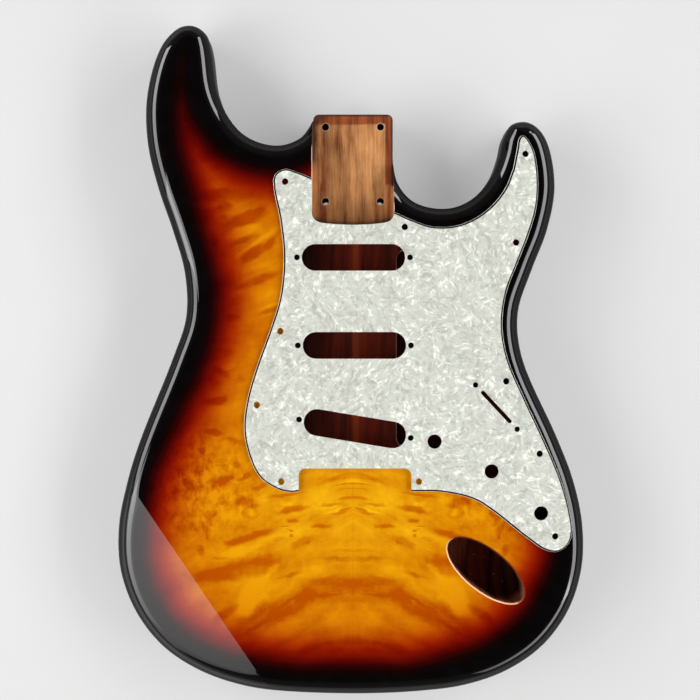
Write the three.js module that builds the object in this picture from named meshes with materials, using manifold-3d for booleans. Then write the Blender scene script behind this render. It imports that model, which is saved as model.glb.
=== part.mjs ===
// An electric guitar body with a loose pickguard.
// Two core boards with hollow chambers carry a bookmatched top in two leaves, bent over the forearm slope.
// The pickguard lies on the top and is made of four plies.
// Millimetres. The body lies on its flat back at z = 0, +Z comes out of its front face,
// +Y points to the neck, x = 0 is the centre line and y = 0 is half of the body's length.
import * as THREE from "three";
import { mergeVertices } from "three/addons/utils/BufferGeometryUtils.js";
import Module from "manifold-3d";

const wasm = await Module();
wasm.setup();

// Driving dimensions of the body. The shares below are parts of its width and length.
const bodyWide = 321;
const bodyLong = 461;
const bodyThick = 44.45;
const topThick = 3.2;
const edgeRound = 12.7;

// Clearances, and how far a cutter runs past what it cuts
const slopeSeatGap = 0.3;
const neckClear = 0.3;
const overrun = 8;

// The edge's rounding narrows by this share at a time until no other stretch of the outline is
// nearer than this share of it, and on a sloping face it starts a little past the face
const narrowingShare = 0.93;
const crowdingShare = 0.97;
const pastFaceShare = 0.05;

// Forearm slope: its crease on the front face, as shares of the body, and its tilt
const slopeStartShares = [-0.458, -0.203];
const slopeEndShares = [-0.188, -0.479];
const slopeTilt = THREE.MathUtils.degToRad(13);

// Belly cut: a round scoop in the back at the bass side's waist
const bellyPlaceShare = 0.045;
const bellyRadius = 230;
const bellyDepth = 16;
const bellyDeepestShare = -0.36;
const bellyFadeShare = -0.14;

// Neck pocket with its four screw holes, and the heel round it
const pocketWide = 55.9;
const pocketLong = 76.2;
const pocketDeep = 15.9;
const pocketCorner = 8;
const heelInset = 0.35;
const heelWide = pocketWide - 2 * heelInset;
const heelCorner = 4;
const heelEndShare = 0.3677;
const neckScrewWide = 38.1;
const neckScrewLong = 51.6;
const neckScrewEndGap = 8.7;
const neckScrewBore = 4.8;

// Pickup cavities under the pickguard
const pickupPlaceShares = { neck: [0.001, 0.15], middle: [0.003, 0.02], bridge: [0.004, -0.103] };
const pickupTurns = { neck: 0, middle: 0, bridge: THREE.MathUtils.degToRad(-9.4) };
const pickupCavityLong = 89;
const pickupCavityWide = 25;
const pickupCavityCorner = 9;
const pickupCavityDeep = 19;

// Wire channel in the core, under the top, along the treble ends of the pickup cavities
const channelInnerX = 30.5;
const channelWide = 18;
const channelCorner = 7;
const channelDeep = 24.5;
const channelUpperShare = 0.165;
const channelLowerShare = -0.134;

// Control cavity, oval jack cavity and the bore between them
const controlDeep = 38;
const jackPlaceShares = [0.282, -0.313];
const jackLong = 63;
const jackWide = 27.6;
const jackTurn = THREE.MathUtils.degToRad(-38.4);
const jackDeep = 36;
const jackBore = 10;
const jackBoreRise = 18;
const jackBoreAimShares = [0.35, -0.2];

// Chambers in the core, closed by the top
const chamberFloor = 9.5;
const bellyChamberFloor = 21;

// Pickguard plies from the body up, and the bevel round their outer edge
const plyThicks = { base: 0.7, black: 0.5, white: 0.4, pearl: 0.8 };
const guardBevel = 1.4;
const pickupSlotLong = 70.4;
const pickupSlotWide = 18.2;
const pickupScrewSpan = 77;
const pickupScrewBore = 3.8;
const guardScrewBore = 4.2;
const bridgeCutWide = 77;
const bridgeCutLong = 46;
const bridgeCutCorner = 5;
const bridgeCutPlaceShares = [0.0044, -0.1616];
const neckCutBulge = 1.6;
const potBore = 9.6;
const potPlaceShares = [[0.173, -0.122], [0.294, -0.166], [0.399, -0.228]];
const switchPlaceShares = [0.304, -0.071];
const switchTurn = THREE.MathUtils.degToRad(-46.8);
const switchSlotLong = 29.5;
const switchSlotWide = 2.4;
const switchScrewSpan = 41.3;
const switchScrewBore = 3.6;

// Outline of the body from the bass side of the heel round to its treble side
const heelSideShare = heelWide / 2 / bodyWide;
const outlineShares = [
  [-heelSideShare, 0.358], [-0.096, 0.345], [-0.113, 0.331], [-0.154, 0.32], [-0.201, 0.324],
  [-0.242, 0.34], [-0.274, 0.369], [-0.294, 0.404], [-0.306, 0.466], [-0.316, 0.486],
  [-0.34, 0.498], [-0.369, 0.497], [-0.4, 0.48], [-0.423, 0.451], [-0.444, 0.387],
  [-0.441, 0.32], [-0.419, 0.256], [-0.388, 0.193], [-0.362, 0.129], [-0.359, 0.063],
  [-0.388, 0], [-0.459, -0.124], [-0.487, -0.187], [-0.507, -0.253], [-0.505, -0.32],
  [-0.472, -0.384], [-0.411, -0.437], [-0.328, -0.472], [-0.236, -0.491], [-0.14, -0.498],
  [0.02, -0.501], [0.147, -0.497], [0.241, -0.488], [0.331, -0.466], [0.409, -0.428],
  [0.464, -0.375], [0.492, -0.312], [0.493, -0.245], [0.473, -0.18], [0.439, -0.118],
  [0.363, 0.004], [0.355, 0.069], [0.384, 0.132], [0.418, 0.194], [0.434, 0.259],
  [0.418, 0.324], [0.395, 0.347], [0.369, 0.355], [0.34, 0.35], [0.324, 0.331],
  [0.315, 0.304], [0.297, 0.272], [0.261, 0.242], [0.218, 0.227], [0.171, 0.226],
  [0.127, 0.237], [0.097, 0.262], [0.087, 0.291], [heelSideShare, 0.325], [heelSideShare, 0.358],
];

// Outline of the pickguard's upper face: three runs that meet inside the neck and bridge cut-outs
const guardTrebleShares = [
  [0.353, 0.312], [0.3555, 0.323], [0.361, 0.328], [0.375, 0.315], [0.383, 0.3], [0.389, 0.262],
  [0.385, 0.223], [0.37, 0.187], [0.345, 0.142], [0.321, 0.097], [0.313, 0.047], [0.325, -0.001],
  [0.361, -0.06], [0.4, -0.118], [0.436, -0.177], [0.455, -0.223], [0.461, -0.255],
  [0.454, -0.272], [0.435, -0.282], [0.41, -0.28], [0.373, -0.263], [0.298, -0.222],
  [0.258, -0.205], [0.19, -0.194], [0.125, -0.193],
];
const guardBassShares = [
  [-0.112, -0.193], [-0.131, -0.194], [-0.154, -0.191], [-0.193, -0.174], [-0.215, -0.145],
  [-0.227, -0.105], [-0.221, -0.063], [-0.202, -0.016], [-0.171, 0.044], [-0.151, 0.09],
  [-0.143, 0.149], [-0.151, 0.207], [-0.164, 0.252], [-0.163, 0.27], [-0.145, 0.278],
  [-0.121, 0.274], [-0.07, 0.259],
];
const guardCutawayShares = [
  [0.06, 0.224], [0.092, 0.213], [0.124, 0.203], [0.169, 0.193], [0.217, 0.194], [0.26, 0.205],
  [0.298, 0.225], [0.327, 0.251], [0.344, 0.28],
];
const guardScrewShares = [
  [0.366, 0.303], [-0.144, 0.262], [0.11, 0.195], [0.346, 0.172], [-0.154, 0.041],
  [-0.204, -0.068], [0.325, -0.033], [0.396, -0.14], [-0.152, -0.181], [0.14, -0.181],
  [0.429, -0.262],
];

// Outlines of the control cavity and of the chambers
const controlShares = [
  [0.145, -0.074], [0.181, -0.046], [0.255, -0.022], [0.305, -0.041], [0.343, -0.082],
  [0.371, -0.13], [0.405, -0.182], [0.434, -0.221], [0.434, -0.243], [0.399, -0.254],
  [0.324, -0.215], [0.255, -0.184], [0.181, -0.171], [0.14, -0.156], [0.13, -0.12],
];
const chamberShares = {
  bassUpper: [
    [-0.193, 0.252], [-0.324, 0.299], [-0.361, 0.243], [-0.312, 0.143], [-0.302, 0.056],
    [-0.343, -0.03], [-0.349, -0.104], [-0.28, -0.13], [-0.187, -0.104], [-0.174, 0.065],
  ],
  bassLower: [
    [-0.181, -0.182], [-0.312, -0.169], [-0.393, -0.204], [-0.343, -0.273], [-0.243, -0.369],
    [-0.181, -0.403], [-0.162, -0.304],
  ],
  trebleUpper: [
    [0.193, 0.169], [0.299, 0.195], [0.361, 0.256], [0.368, 0.2], [0.33, 0.139], [0.302, 0.074],
    [0.293, 0.017], [0.199, 0.009], [0.181, 0.087],
  ],
  trebleLower: [
    [0.143, -0.226], [0.174, -0.256], [0.181, -0.343], [0.243, -0.39], [0.324, -0.412],
    [0.262, -0.443], [0.162, -0.438], [0.118, -0.347],
  ],
};

// How finely curves are cut into straight steps
const outlineSteps = 2;
const guardSteps = 2;
const chamberSteps = 2;
const cornerSteps = 3;
const screwSides = 8;
const neckScrewSides = 12;
const potSides = 12;
const jackBoreSides = 12;
const ovalSides = 28;
const bellySides = 90;

// Sizes that follow from those above
const seamHeight = bodyThick - topThick;
const heelEnd = heelEndShare * bodyLong;
const pocketEnd = heelEnd - pocketLong;
const pocketFloor = bodyThick - pocketDeep;

function place([wideShare, longShare]) {
  return new THREE.Vector2(wideShare * bodyWide, longShare * bodyLong);
}

// A smooth run of points through the places that a list of shares gives
function smoothRun(shares, steps, closed = false) {
  const knots = shares.map(place).map((p) => new THREE.Vector3(p.x, p.y, 0));
  const curve = new THREE.CatmullRomCurve3(knots, closed, "centripetal");
  const spans = closed ? knots.length : knots.length - 1;
  const points = curve.getPoints(spans * steps).map((p) => new THREE.Vector2(p.x, p.y));
  return closed ? points.slice(0, -1) : points;
}

function arcPoints(x, y, radius, from, to, steps = cornerSteps) {
  return new THREE.EllipseCurve(x, y, radius, radius, from, to, to < from).getPoints(steps);
}

// Points of a rectangle with round corners, turned about its centre
function roundedRectangle(centre, long, wide, corner, turn = 0) {
  const x = long / 2 - corner;
  const y = wide / 2 - corner;
  const quarter = Math.PI / 2;
  return [[x, y, 0], [-x, y, 1], [-x, -y, 2], [x, -y, 3]].flatMap(([cx, cy, quarters]) =>
    arcPoints(cx, cy, corner, quarters * quarter, (quarters + 1) * quarter),
  ).map((p) => p.rotateAround(new THREE.Vector2(), turn).add(centre));
}

// A slot with full round ends
function slotPoints(centre, long, wide, turn) {
  const x = (long - wide) / 2;
  const quarter = Math.PI / 2;
  return [
    ...arcPoints(x, 0, wide / 2, -quarter, quarter, 2 * cornerSteps),
    ...arcPoints(-x, 0, wide / 2, quarter, 3 * quarter, 2 * cornerSteps),
  ].map((p) => p.rotateAround(new THREE.Vector2(), turn).add(centre));
}

function asSolid(geometry) {
  geometry.deleteAttribute("normal");
  geometry.deleteAttribute("uv");
  const merged = mergeVertices(geometry);
  return new wasm.Manifold(new wasm.Mesh({
    numProp: 3,
    vertProperties: new Float32Array(merged.attributes.position.array),
    triVerts: new Uint32Array(merged.index.array),
  }));
}

// A straight-walled solid between two heights
function prism(points, low, high) {
  const shape = new THREE.Shape(points);
  const geometry = new THREE.ExtrudeGeometry(shape, { depth: high - low, bevelEnabled: false });
  return asSolid(geometry.translate(0, 0, low));
}

function drill(centre, bore, low, high, sides) {
  const geometry = new THREE.CylinderGeometry(bore / 2, bore / 2, high - low, sides);
  geometry.rotateX(Math.PI / 2);
  return asSolid(geometry.translate(centre.x, centre.y, (low + high) / 2));
}

function box(low, high) {
  const size = high.clone().sub(low);
  const middle = high.clone().add(low).divideScalar(2);
  const geometry = new THREE.BoxGeometry(size.x, size.y, size.z);
  return asSolid(geometry.translate(middle.x, middle.y, middle.z));
}

// A solid whose skin joins sections with the same number of points, either in a closed loop
// or with a flat lid on its first and last section
function skinOver(sections, closed) {
  const count = sections[0].length;
  const position = sections.flat().flatMap((p) => [p.x, p.y, p.z]);
  const index = [];
  const lastSpan = closed ? sections.length : sections.length - 1;
  for (let i = 0; i < lastSpan; i += 1) {
    const here = i * count;
    const next = ((i + 1) % sections.length) * count;
    for (let j = 0; j < count; j += 1) {
      const k = (j + 1) % count;
      index.push(here + j, here + k, next + k, here + j, next + k, next + j);
    }
  }
  if (!closed) {
    const top = (sections.length - 1) * count;
    for (const [a, b, c] of THREE.ShapeUtils.triangulateShape(sections[0], [])) {
      index.push(c, b, a);
    }
    for (const [a, b, c] of THREE.ShapeUtils.triangulateShape(sections.at(-1), [])) {
      index.push(top + a, top + b, top + c);
    }
  }
  const geometry = new THREE.BufferGeometry();
  geometry.setAttribute("position", new THREE.Float32BufferAttribute(position, 3));
  return asSolid(geometry.setIndex(index));
}

// For each point of a closed outline, the direction that points into the body
function inwardNormals(points) {
  return points.map((p, i) => {
    const before = points.at(i - 1);
    const after = points[(i + 1) % points.length];
    const along = after.clone().sub(before).normalize();
    return new THREE.Vector2(-along.y, along.x);
  });
}

function offsetOutline(points, inset) {
  const normals = inwardNormals(points);
  return points.map((p, i) => p.clone().addScaledVector(normals[i], inset));
}

// How far an edge's rounding can reach in from one point before it meets the rounding
// of another stretch of the outline: it narrows where the outline turns tightly
function roundingReach(points, normals, i) {
  let reach = edgeRound;
  const crowded = () => {
    const tip = points[i].clone().addScaledVector(normals[i], reach);
    return points.some((p) => p.distanceTo(tip) < crowdingShare * reach);
  };
  while (crowded()) {
    reach *= narrowingShare;
  }
  return reach;
}

// A quarter round from a face to its wall: how far in each point lies, as a share of the
// rounding's reach, and how deep below the face, as a share of its radius. One point is as deep
// as the seam between the top and the core.
function quarterRound() {
  const face = Math.PI / 2;
  const seam = Math.asin(1 - topThick / edgeRound);
  const angles = [face, (face + seam) / 2, seam, seam / 2, 0];
  return angles.map((angle) => new THREE.Vector2(1 - Math.cos(angle), 1 - Math.sin(angle)));
}

// Everything outside the body's wall and its two rounded edges, which follow the height of
// the front and of the back. Where a face slopes, the round starts a little past it.
function edgeWaste(points) {
  const normals = inwardNormals(points);
  const arc = quarterRound();
  const sections = points.map((point, i) => {
    const reach = roundingReach(points, normals, i);
    const spot = (inset, heightAt, rise) => {
      const p = point.clone().addScaledVector(normals[i], inset);
      return new THREE.Vector3(p.x, p.y, heightAt(p) + rise);
    };
    const edge = (heightAt, flatHeight, side) => {
      const isFlat = spot(reach, heightAt, 0).z === flatHeight;
      const rim = arc[0].clone().lerp(arc[1], isFlat ? 0 : -pastFaceShare);
      const round = [rim, ...arc.slice(1)];
      return [
        spot(-overrun, heightAt, side * overrun),
        spot(rim.x * reach, heightAt, side * overrun),
        ...round.map((p) => spot(p.x * reach, heightAt, -side * p.y * edgeRound)),
      ];
    };
    return [...edge(frontHeight, bodyThick, 1).reverse(), ...edge(backHeight, 0, -1)];
  });
  return skinOver(sections, true);
}

const outline = [
  ...smoothRun(outlineShares, outlineSteps),
  ...arcPoints(heelWide / 2 - heelCorner, heelEnd - heelCorner, heelCorner, 0, Math.PI / 2),
  ...arcPoints(heelCorner - heelWide / 2, heelEnd - heelCorner, heelCorner, Math.PI / 2, Math.PI),
];

// The forearm slope is a plane through the crease. It falls away towards the bass side's lower bout.
const creaseStart = place(slopeStartShares);
const creaseAlong = place(slopeEndShares).sub(creaseStart).normalize();
const creaseOut = new THREE.Vector2(creaseAlong.y, -creaseAlong.x);

function slopeHeight(spot) {
  const past = spot.clone().sub(creaseStart).dot(creaseOut);
  return bodyThick - past * Math.tan(slopeTilt);
}

function frontHeight(spot) {
  return Math.min(bodyThick, slopeHeight(spot));
}

// Everything above the slope, with the slope lowered square to itself
function slopeWaste(lowered) {
  const drop = lowered / Math.cos(slopeTilt);
  const reach = bodyLong;
  const lift = bodyThick;
  const corners = [[-reach, -reach], [-reach, reach], [reach, reach], [reach, -reach]];
  const sections = [0, lift].map((rise) => corners.map(([along, out]) => {
    const spot = creaseStart.clone();
    spot.addScaledVector(creaseAlong, along).addScaledVector(creaseOut, out);
    return new THREE.Vector3(spot.x, spot.y, slopeHeight(spot) - drop + rise);
  }));
  return skinOver(sections, false);
}

// The belly cut is a cylinder that enters the back. Its axis dips from the edge to the fade line.
const bellyY = bellyPlaceShare * bodyLong;
const bellyDeepestX = bellyDeepestShare * bodyWide;
const bellyFadeX = bellyFadeShare * bodyWide;
const bellySlope = bellyDepth / (bellyFadeX - bellyDeepestX);

function backHeight(spot) {
  const crest = bellySlope * (bellyFadeX - spot.x);
  const across = Math.min(Math.abs(spot.y - bellyY), bellyRadius);
  const sag = bellyRadius - Math.sqrt(bellyRadius ** 2 - across ** 2);
  return Math.max(0, crest - sag * Math.hypot(1, bellySlope));
}

function bellyWaste() {
  const long = 2 * bodyWide;
  const geometry = new THREE.CylinderGeometry(bellyRadius, bellyRadius, long, bellySides);
  geometry.rotateZ(Math.PI / 2);
  geometry.translate(0, 0, -bellyRadius);
  geometry.rotateY(Math.atan(bellySlope));
  return asSolid(geometry.translate(bellyFadeX, bellyY, 0));
}

// The body's blank with its slope, belly cut, wall and rounded edges
function bodyBlank() {
  return prism(offsetOutline(outline, -overrun / 2), 0, bodyThick)
    .subtract(slopeWaste(0))
    .subtract(bellyWaste())
    .subtract(edgeWaste(outline));
}

// The pocket for the neck, open at the heel's end
function neckPocket() {
  const long = pocketLong + overrun;
  const centre = new THREE.Vector2(0, pocketEnd + long / 2);
  const corners = roundedRectangle(centre, pocketWide, long, pocketCorner);
  const mouth = pocketEnd + 2 * pocketCorner;
  const wings = box(
    new THREE.Vector3(-pocketWide / 2, mouth, pocketFloor),
    new THREE.Vector3(pocketWide / 2, heelEnd + overrun, bodyThick + overrun),
  );
  return prism(corners, pocketFloor, bodyThick + overrun).add(wings);
}

function neckScrewHoles() {
  const upper = heelEnd - neckScrewEndGap;
  const holes = [];
  for (const x of [-neckScrewWide / 2, neckScrewWide / 2]) {
    for (const y of [upper, upper - neckScrewLong]) {
      const centre = new THREE.Vector2(x, y);
      holes.push(drill(centre, neckScrewBore, -overrun, bodyThick, neckScrewSides));
    }
  }
  return holes;
}

function pickupCavities() {
  const floor = bodyThick - pickupCavityDeep;
  return Object.keys(pickupPlaceShares).map((name) => {
    const centre = place(pickupPlaceShares[name]);
    const points = roundedRectangle(
      centre, pickupCavityLong, pickupCavityWide, pickupCavityCorner, pickupTurns[name],
    );
    return prism(points, floor, bodyThick + overrun);
  });
}

function controlCavity() {
  const points = smoothRun(controlShares, chamberSteps, true);
  return prism(points, bodyThick - controlDeep, bodyThick + overrun).add(jackWireBore());
}

function jackCavity() {
  const centre = place(jackPlaceShares);
  const oval = new THREE.EllipseCurve(0, 0, jackLong / 2, jackWide / 2);
  const points = oval.getPoints(ovalSides).slice(0, -1);
  const turned = points.map((p) => p.rotateAround(new THREE.Vector2(), jackTurn).add(centre));
  return prism(turned, bodyThick - jackDeep, bodyThick + overrun);
}

// The bore for the jack's wires, from the jack cavity's middle into the control cavity
function jackWireBore() {
  const from = place(jackPlaceShares);
  const to = place(jackBoreAimShares);
  const geometry = new THREE.CylinderGeometry(
    jackBore / 2, jackBore / 2, from.distanceTo(to), jackBoreSides,
  );
  geometry.rotateZ(to.clone().sub(from).angle() - Math.PI / 2);
  const middle = from.clone().lerp(to, 1 / 2);
  return asSolid(geometry.translate(middle.x, middle.y, jackBoreRise));
}

function wireChannel() {
  const upper = channelUpperShare * bodyLong;
  const lower = channelLowerShare * bodyLong;
  const centre = new THREE.Vector2(channelInnerX + channelWide / 2, (upper + lower) / 2);
  const points = roundedRectangle(centre, channelWide, upper - lower, channelCorner);
  return prism(points, bodyThick - channelDeep, bodyThick + overrun);
}

function chambers() {
  return Object.entries(chamberShares).map(([name, shares]) => {
    const floor = name === "bassUpper" ? bellyChamberFloor : chamberFloor;
    return prism(smoothRun(shares, chamberSteps, true), floor, bodyThick + overrun);
  });
}

function cutAll(solid, cutters) {
  return cutters.reduce((left, cutter) => left.subtract(cutter), solid);
}

// Halves of a solid on the bass and treble side of the centre line
function splitAtSeam(solid) {
  const far = new THREE.Vector3(bodyWide, bodyLong, bodyThick + overrun);
  const bass = box(new THREE.Vector3(-far.x, -far.y, -overrun), new THREE.Vector3(0, far.y, far.z));
  const treble = box(new THREE.Vector3(0, -far.y, -overrun), far);
  return { bass: solid.intersect(bass), treble: solid.intersect(treble) };
}

const routedBody = cutAll(bodyBlank(), [
  neckPocket(), ...neckScrewHoles(), ...pickupCavities(), controlCavity(), jackCavity(),
]);

const aboveSeam = box(
  new THREE.Vector3(-bodyWide, -bodyLong, seamHeight),
  new THREE.Vector3(bodyWide, bodyLong, bodyThick + overrun),
);
const cores = splitAtSeam(cutAll(routedBody, [
  aboveSeam, slopeWaste(topThick + slopeSeatGap), wireChannel(), ...chambers(),
]));
const leaves = splitAtSeam(routedBody.intersect(aboveSeam.add(slopeWaste(topThick))));

// The pickguard's outline, with its two cut-outs still closed
const guardOutline = [
  ...smoothRun(guardTrebleShares, guardSteps),
  ...smoothRun(guardBassShares, guardSteps),
  ...smoothRun(guardCutawayShares, guardSteps),
].reverse();

// The neck's cut-out clears the pocket's walls, and its end bulges towards the bridge
function neckCutOut(low, high) {
  const half = pocketWide / 2 + neckClear;
  const corner = pocketCorner;
  const shape = new THREE.Shape();
  const end = pocketEnd;
  shape.moveTo(-half, heelEnd);
  shape.lineTo(-half, end + corner);
  shape.quadraticCurveTo(-half, end, corner - half, end - neckCutBulge / 2);
  shape.quadraticCurveTo(0, end - 2 * neckCutBulge, half - corner, end - neckCutBulge / 2);
  shape.quadraticCurveTo(half, end, half, end + corner);
  shape.lineTo(half, heelEnd);
  return prism(shape.getPoints(cornerSteps), low, high);
}

function bridgeCutOut(low, high) {
  const edge = place(bridgeCutPlaceShares);
  const centre = new THREE.Vector2(edge.x, edge.y - bridgeCutLong / 2);
  const points = roundedRectangle(centre, bridgeCutWide, bridgeCutLong, bridgeCutCorner);
  return prism(points, low, high);
}

function pairAlong(centre, span, turn) {
  return [-span / 2, span / 2].map((x) =>
    new THREE.Vector2(x, 0).rotateAround(new THREE.Vector2(), turn).add(centre),
  );
}

function guardCutters(low, high) {
  const cutters = [neckCutOut(low, high), bridgeCutOut(low, high)];
  for (const shares of guardScrewShares) {
    cutters.push(drill(place(shares), guardScrewBore, low, high, screwSides));
  }
  for (const [name, shares] of Object.entries(pickupPlaceShares)) {
    const centre = place(shares);
    const turn = pickupTurns[name];
    cutters.push(prism(slotPoints(centre, pickupSlotLong, pickupSlotWide, turn), low, high));
    for (const spot of pairAlong(centre, pickupScrewSpan, turn)) {
      cutters.push(drill(spot, pickupScrewBore, low, high, screwSides));
    }
  }
  for (const shares of potPlaceShares) {
    cutters.push(drill(place(shares), potBore, low, high, potSides));
  }
  const middle = place(switchPlaceShares);
  cutters.push(prism(slotPoints(middle, switchSlotLong, switchSlotWide, switchTurn), low, high));
  for (const spot of pairAlong(middle, switchScrewSpan, switchTurn)) {
    cutters.push(drill(spot, switchScrewBore, low, high, screwSides));
  }
  return cutters;
}

// The plies lie on each other, and the bevel runs through all of their outer edges
function guardPlies() {
  const total = Object.values(plyThicks).reduce((sum, thick) => sum + thick, 0);
  const top = bodyThick + total;
  const cutters = guardCutters(bodyThick - overrun, top + overrun);
  const outset = (z) => (guardBevel * (top - z)) / total;
  const plies = {};
  let low = bodyThick;
  for (const [name, thick] of Object.entries(plyThicks)) {
    const high = low + thick;
    const sections = [low, high].map((z) =>
      offsetOutline(guardOutline, -outset(z)).map((p) => new THREE.Vector3(p.x, p.y, z)),
    );
    plies[name] = cutAll(skinOver(sections, false), cutters);
    low = high;
  }
  return plies;
}

function finish(color, roughness) {
  return new THREE.MeshStandardMaterial({ color, roughness, metalness: 0, flatShading: true });
}

function addPiece(group, name, solid, material) {
  const { vertProperties, triVerts } = solid.getMesh();
  const geometry = new THREE.BufferGeometry();
  geometry.setAttribute("position", new THREE.BufferAttribute(vertProperties, 3));
  geometry.setIndex(new THREE.BufferAttribute(triVerts, 1));
  geometry.computeVertexNormals();
  const mesh = new THREE.Mesh(geometry, material);
  mesh.name = name;
  group.add(mesh);
}

const guitarBody = new THREE.Group();
addPiece(guitarBody, "core_bass_board", cores.bass, finish(0x3a1a10, 0.3));
addPiece(guitarBody, "core_treble_board", cores.treble, finish(0x3a1a10, 0.3));
addPiece(guitarBody, "top_bass_leaf", leaves.bass, finish(0xd98a10, 0.1));
addPiece(guitarBody, "top_treble_leaf", leaves.treble, finish(0xd98a10, 0.1));

const pickguard = new THREE.Group();
const plyFinishes = {
  base: finish(0xf2f2ee, 0.35),
  black: finish(0x101010, 0.35),
  white: finish(0xf2f2ee, 0.35),
  pearl: finish(0xd9dcd3, 0.2),
};
for (const [name, solid] of Object.entries(guardPlies())) {
  addPiece(pickguard, `pickguard_${name}_ply`, solid, plyFinishes[name]);
}
guitarBody.add(pickguard);

export default guitarBody;
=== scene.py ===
"""Looks of an electric guitar body with a loose pearl pickguard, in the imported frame.

The body lies on its flat back at z = 0, +Y points to the neck and x = 0 is the centre line.
A block is raised ring by ring from the outline, its cavities are routed out, and it is parted
into two core boards and two top leaves. The pickguard is raised ply by ply. Sizes are written
in millimetres, except for the floor and the lamps, which are in Blender's metres.
"""
import math

import bmesh
import bpy
import numpy as np
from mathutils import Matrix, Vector


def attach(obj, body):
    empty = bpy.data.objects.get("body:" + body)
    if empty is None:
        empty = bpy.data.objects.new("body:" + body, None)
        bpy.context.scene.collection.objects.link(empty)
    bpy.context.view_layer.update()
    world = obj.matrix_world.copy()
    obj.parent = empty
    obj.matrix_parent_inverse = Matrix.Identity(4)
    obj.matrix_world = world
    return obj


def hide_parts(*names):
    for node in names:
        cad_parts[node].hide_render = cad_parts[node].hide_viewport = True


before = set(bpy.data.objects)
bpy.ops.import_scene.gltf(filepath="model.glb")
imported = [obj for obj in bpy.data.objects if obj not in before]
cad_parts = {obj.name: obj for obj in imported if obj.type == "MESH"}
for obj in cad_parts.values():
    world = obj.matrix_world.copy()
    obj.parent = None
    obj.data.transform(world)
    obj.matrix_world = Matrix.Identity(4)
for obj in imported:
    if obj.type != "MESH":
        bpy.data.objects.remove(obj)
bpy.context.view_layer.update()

MM = 0.001

# Camera and image: straight down from above the front face
EYE = (-2.05, 6.1, 946.85)
LENS_PIXELS, IMAGE_PIXELS, SENSOR = 1323.0, 700.0, 36.0
CLIP_NEAR, CLIP_FAR = 50.0, 20000.0

camera = bpy.data.objects.new("camera", bpy.data.cameras.new("camera"))
bpy.context.scene.collection.objects.link(camera)
camera.data.sensor_width = SENSOR
camera.data.lens = SENSOR * LENS_PIXELS / IMAGE_PIXELS
camera.data.clip_start, camera.data.clip_end = CLIP_NEAR * MM, CLIP_FAR * MM
camera.location = [v * MM for v in EYE]
bpy.context.scene.camera = camera

# Sizes in millimetres
WIDE, LONG, THICK, TOP_THICK, EDGE_ROUND = 321.0, 461.0, 44.45, 3.2, 12.7
CREASE_START = np.array([-0.458 * WIDE, -0.203 * LONG])
CREASE_END = np.array([-0.188 * WIDE, -0.479 * LONG])
SLOPE_TILT = math.radians(13)
BELLY_Y, BELLY_RADIUS, BELLY_DEPTH = 0.045 * LONG, 230.0, 16.0
BELLY_DEEPEST_X, BELLY_FADE_X, BELLY_SOFT = -0.36 * WIDE, -0.14 * WIDE, 0.9
# The crease of the slope is crisp on the face and softer near the rim
CREASE_SOFT, CREASE_SOFTER, CREASE_SOFTER_REACH, CREASE_SHARP_DEPTH = 0.02, 5.0, 1.4 * EDGE_ROUND, 0.2
# The faces are cut along a grid before they bend, and lie a little inside the rounding
GRID_START, GRID_PITCH, FACE_INSET, SEAM_BAND = 2.1, 5.6, 0.25, 0.15
# Cutters stand past what they cut, edges that turn more than the angle stay crisp, and points
# closer than TOUCHING, in metres, are one
OVERRUN, FAR, CRISP_ANGLE, TOUCHING = 8.0, 300.0, math.radians(32), 1e-6

POCKET_WIDE, POCKET_LONG, POCKET_DEEP, POCKET_CORNER = 55.9, 76.2, 15.9, 8.0
HEEL_WIDE, HEEL_CORNER, HEEL_END = 55.2, 4.0, 0.3677 * LONG
POCKET_END, POCKET_FLOOR = HEEL_END - POCKET_LONG, THICK - POCKET_DEEP
NECK_SCREWS_WIDE, NECK_SCREWS_LONG, NECK_SCREW_END_GAP, NECK_SCREW_BORE = 38.1, 51.6, 8.7, 4.8

PICKUP_PLACES = {
    "neck": (0.001 * WIDE, 0.15 * LONG, 0.0),
    "middle": (0.003 * WIDE, 0.02 * LONG, 0.0),
    "bridge": (0.004 * WIDE, -0.103 * LONG, math.radians(-9.4)),
}
CAVITY_LONG, CAVITY_WIDE, CAVITY_CORNER, CAVITY_DEEP = 89.0, 25.0, 9.0, 19.0
CHANNEL_X, CHANNEL_WIDE, CHANNEL_CORNER, CHANNEL_DEEP = 30.5, 18.0, 7.0, 24.5
CHANNEL_LOW, CHANNEL_HIGH = -0.134 * LONG, 0.165 * LONG
CONTROL_DEEP = 38.0
JACK_PLACE, JACK_LONG, JACK_WIDE = (0.282 * WIDE, -0.313 * LONG), 63.0, 27.6
JACK_TURN, JACK_DEEP, JACK_BORE, JACK_BORE_RISE = math.radians(-38.4), 36.0, 10.0, 18.0
JACK_BORE_AIM = (0.35 * WIDE, -0.2 * LONG)
CHAMBER_FLOOR, BELLY_CHAMBER_FLOOR = 9.5, 21.0
# How far the mouth of a rout opens, and from how deep
POCKET_ARRIS, JACK_ARRIS, CHANNEL_ARRIS = (0.4, 0.4), (1.0, 0.6), (0.6, 0.5)

PLIES = {"base": 0.7, "black": 0.5, "white": 0.4, "pearl": 0.8}
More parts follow.
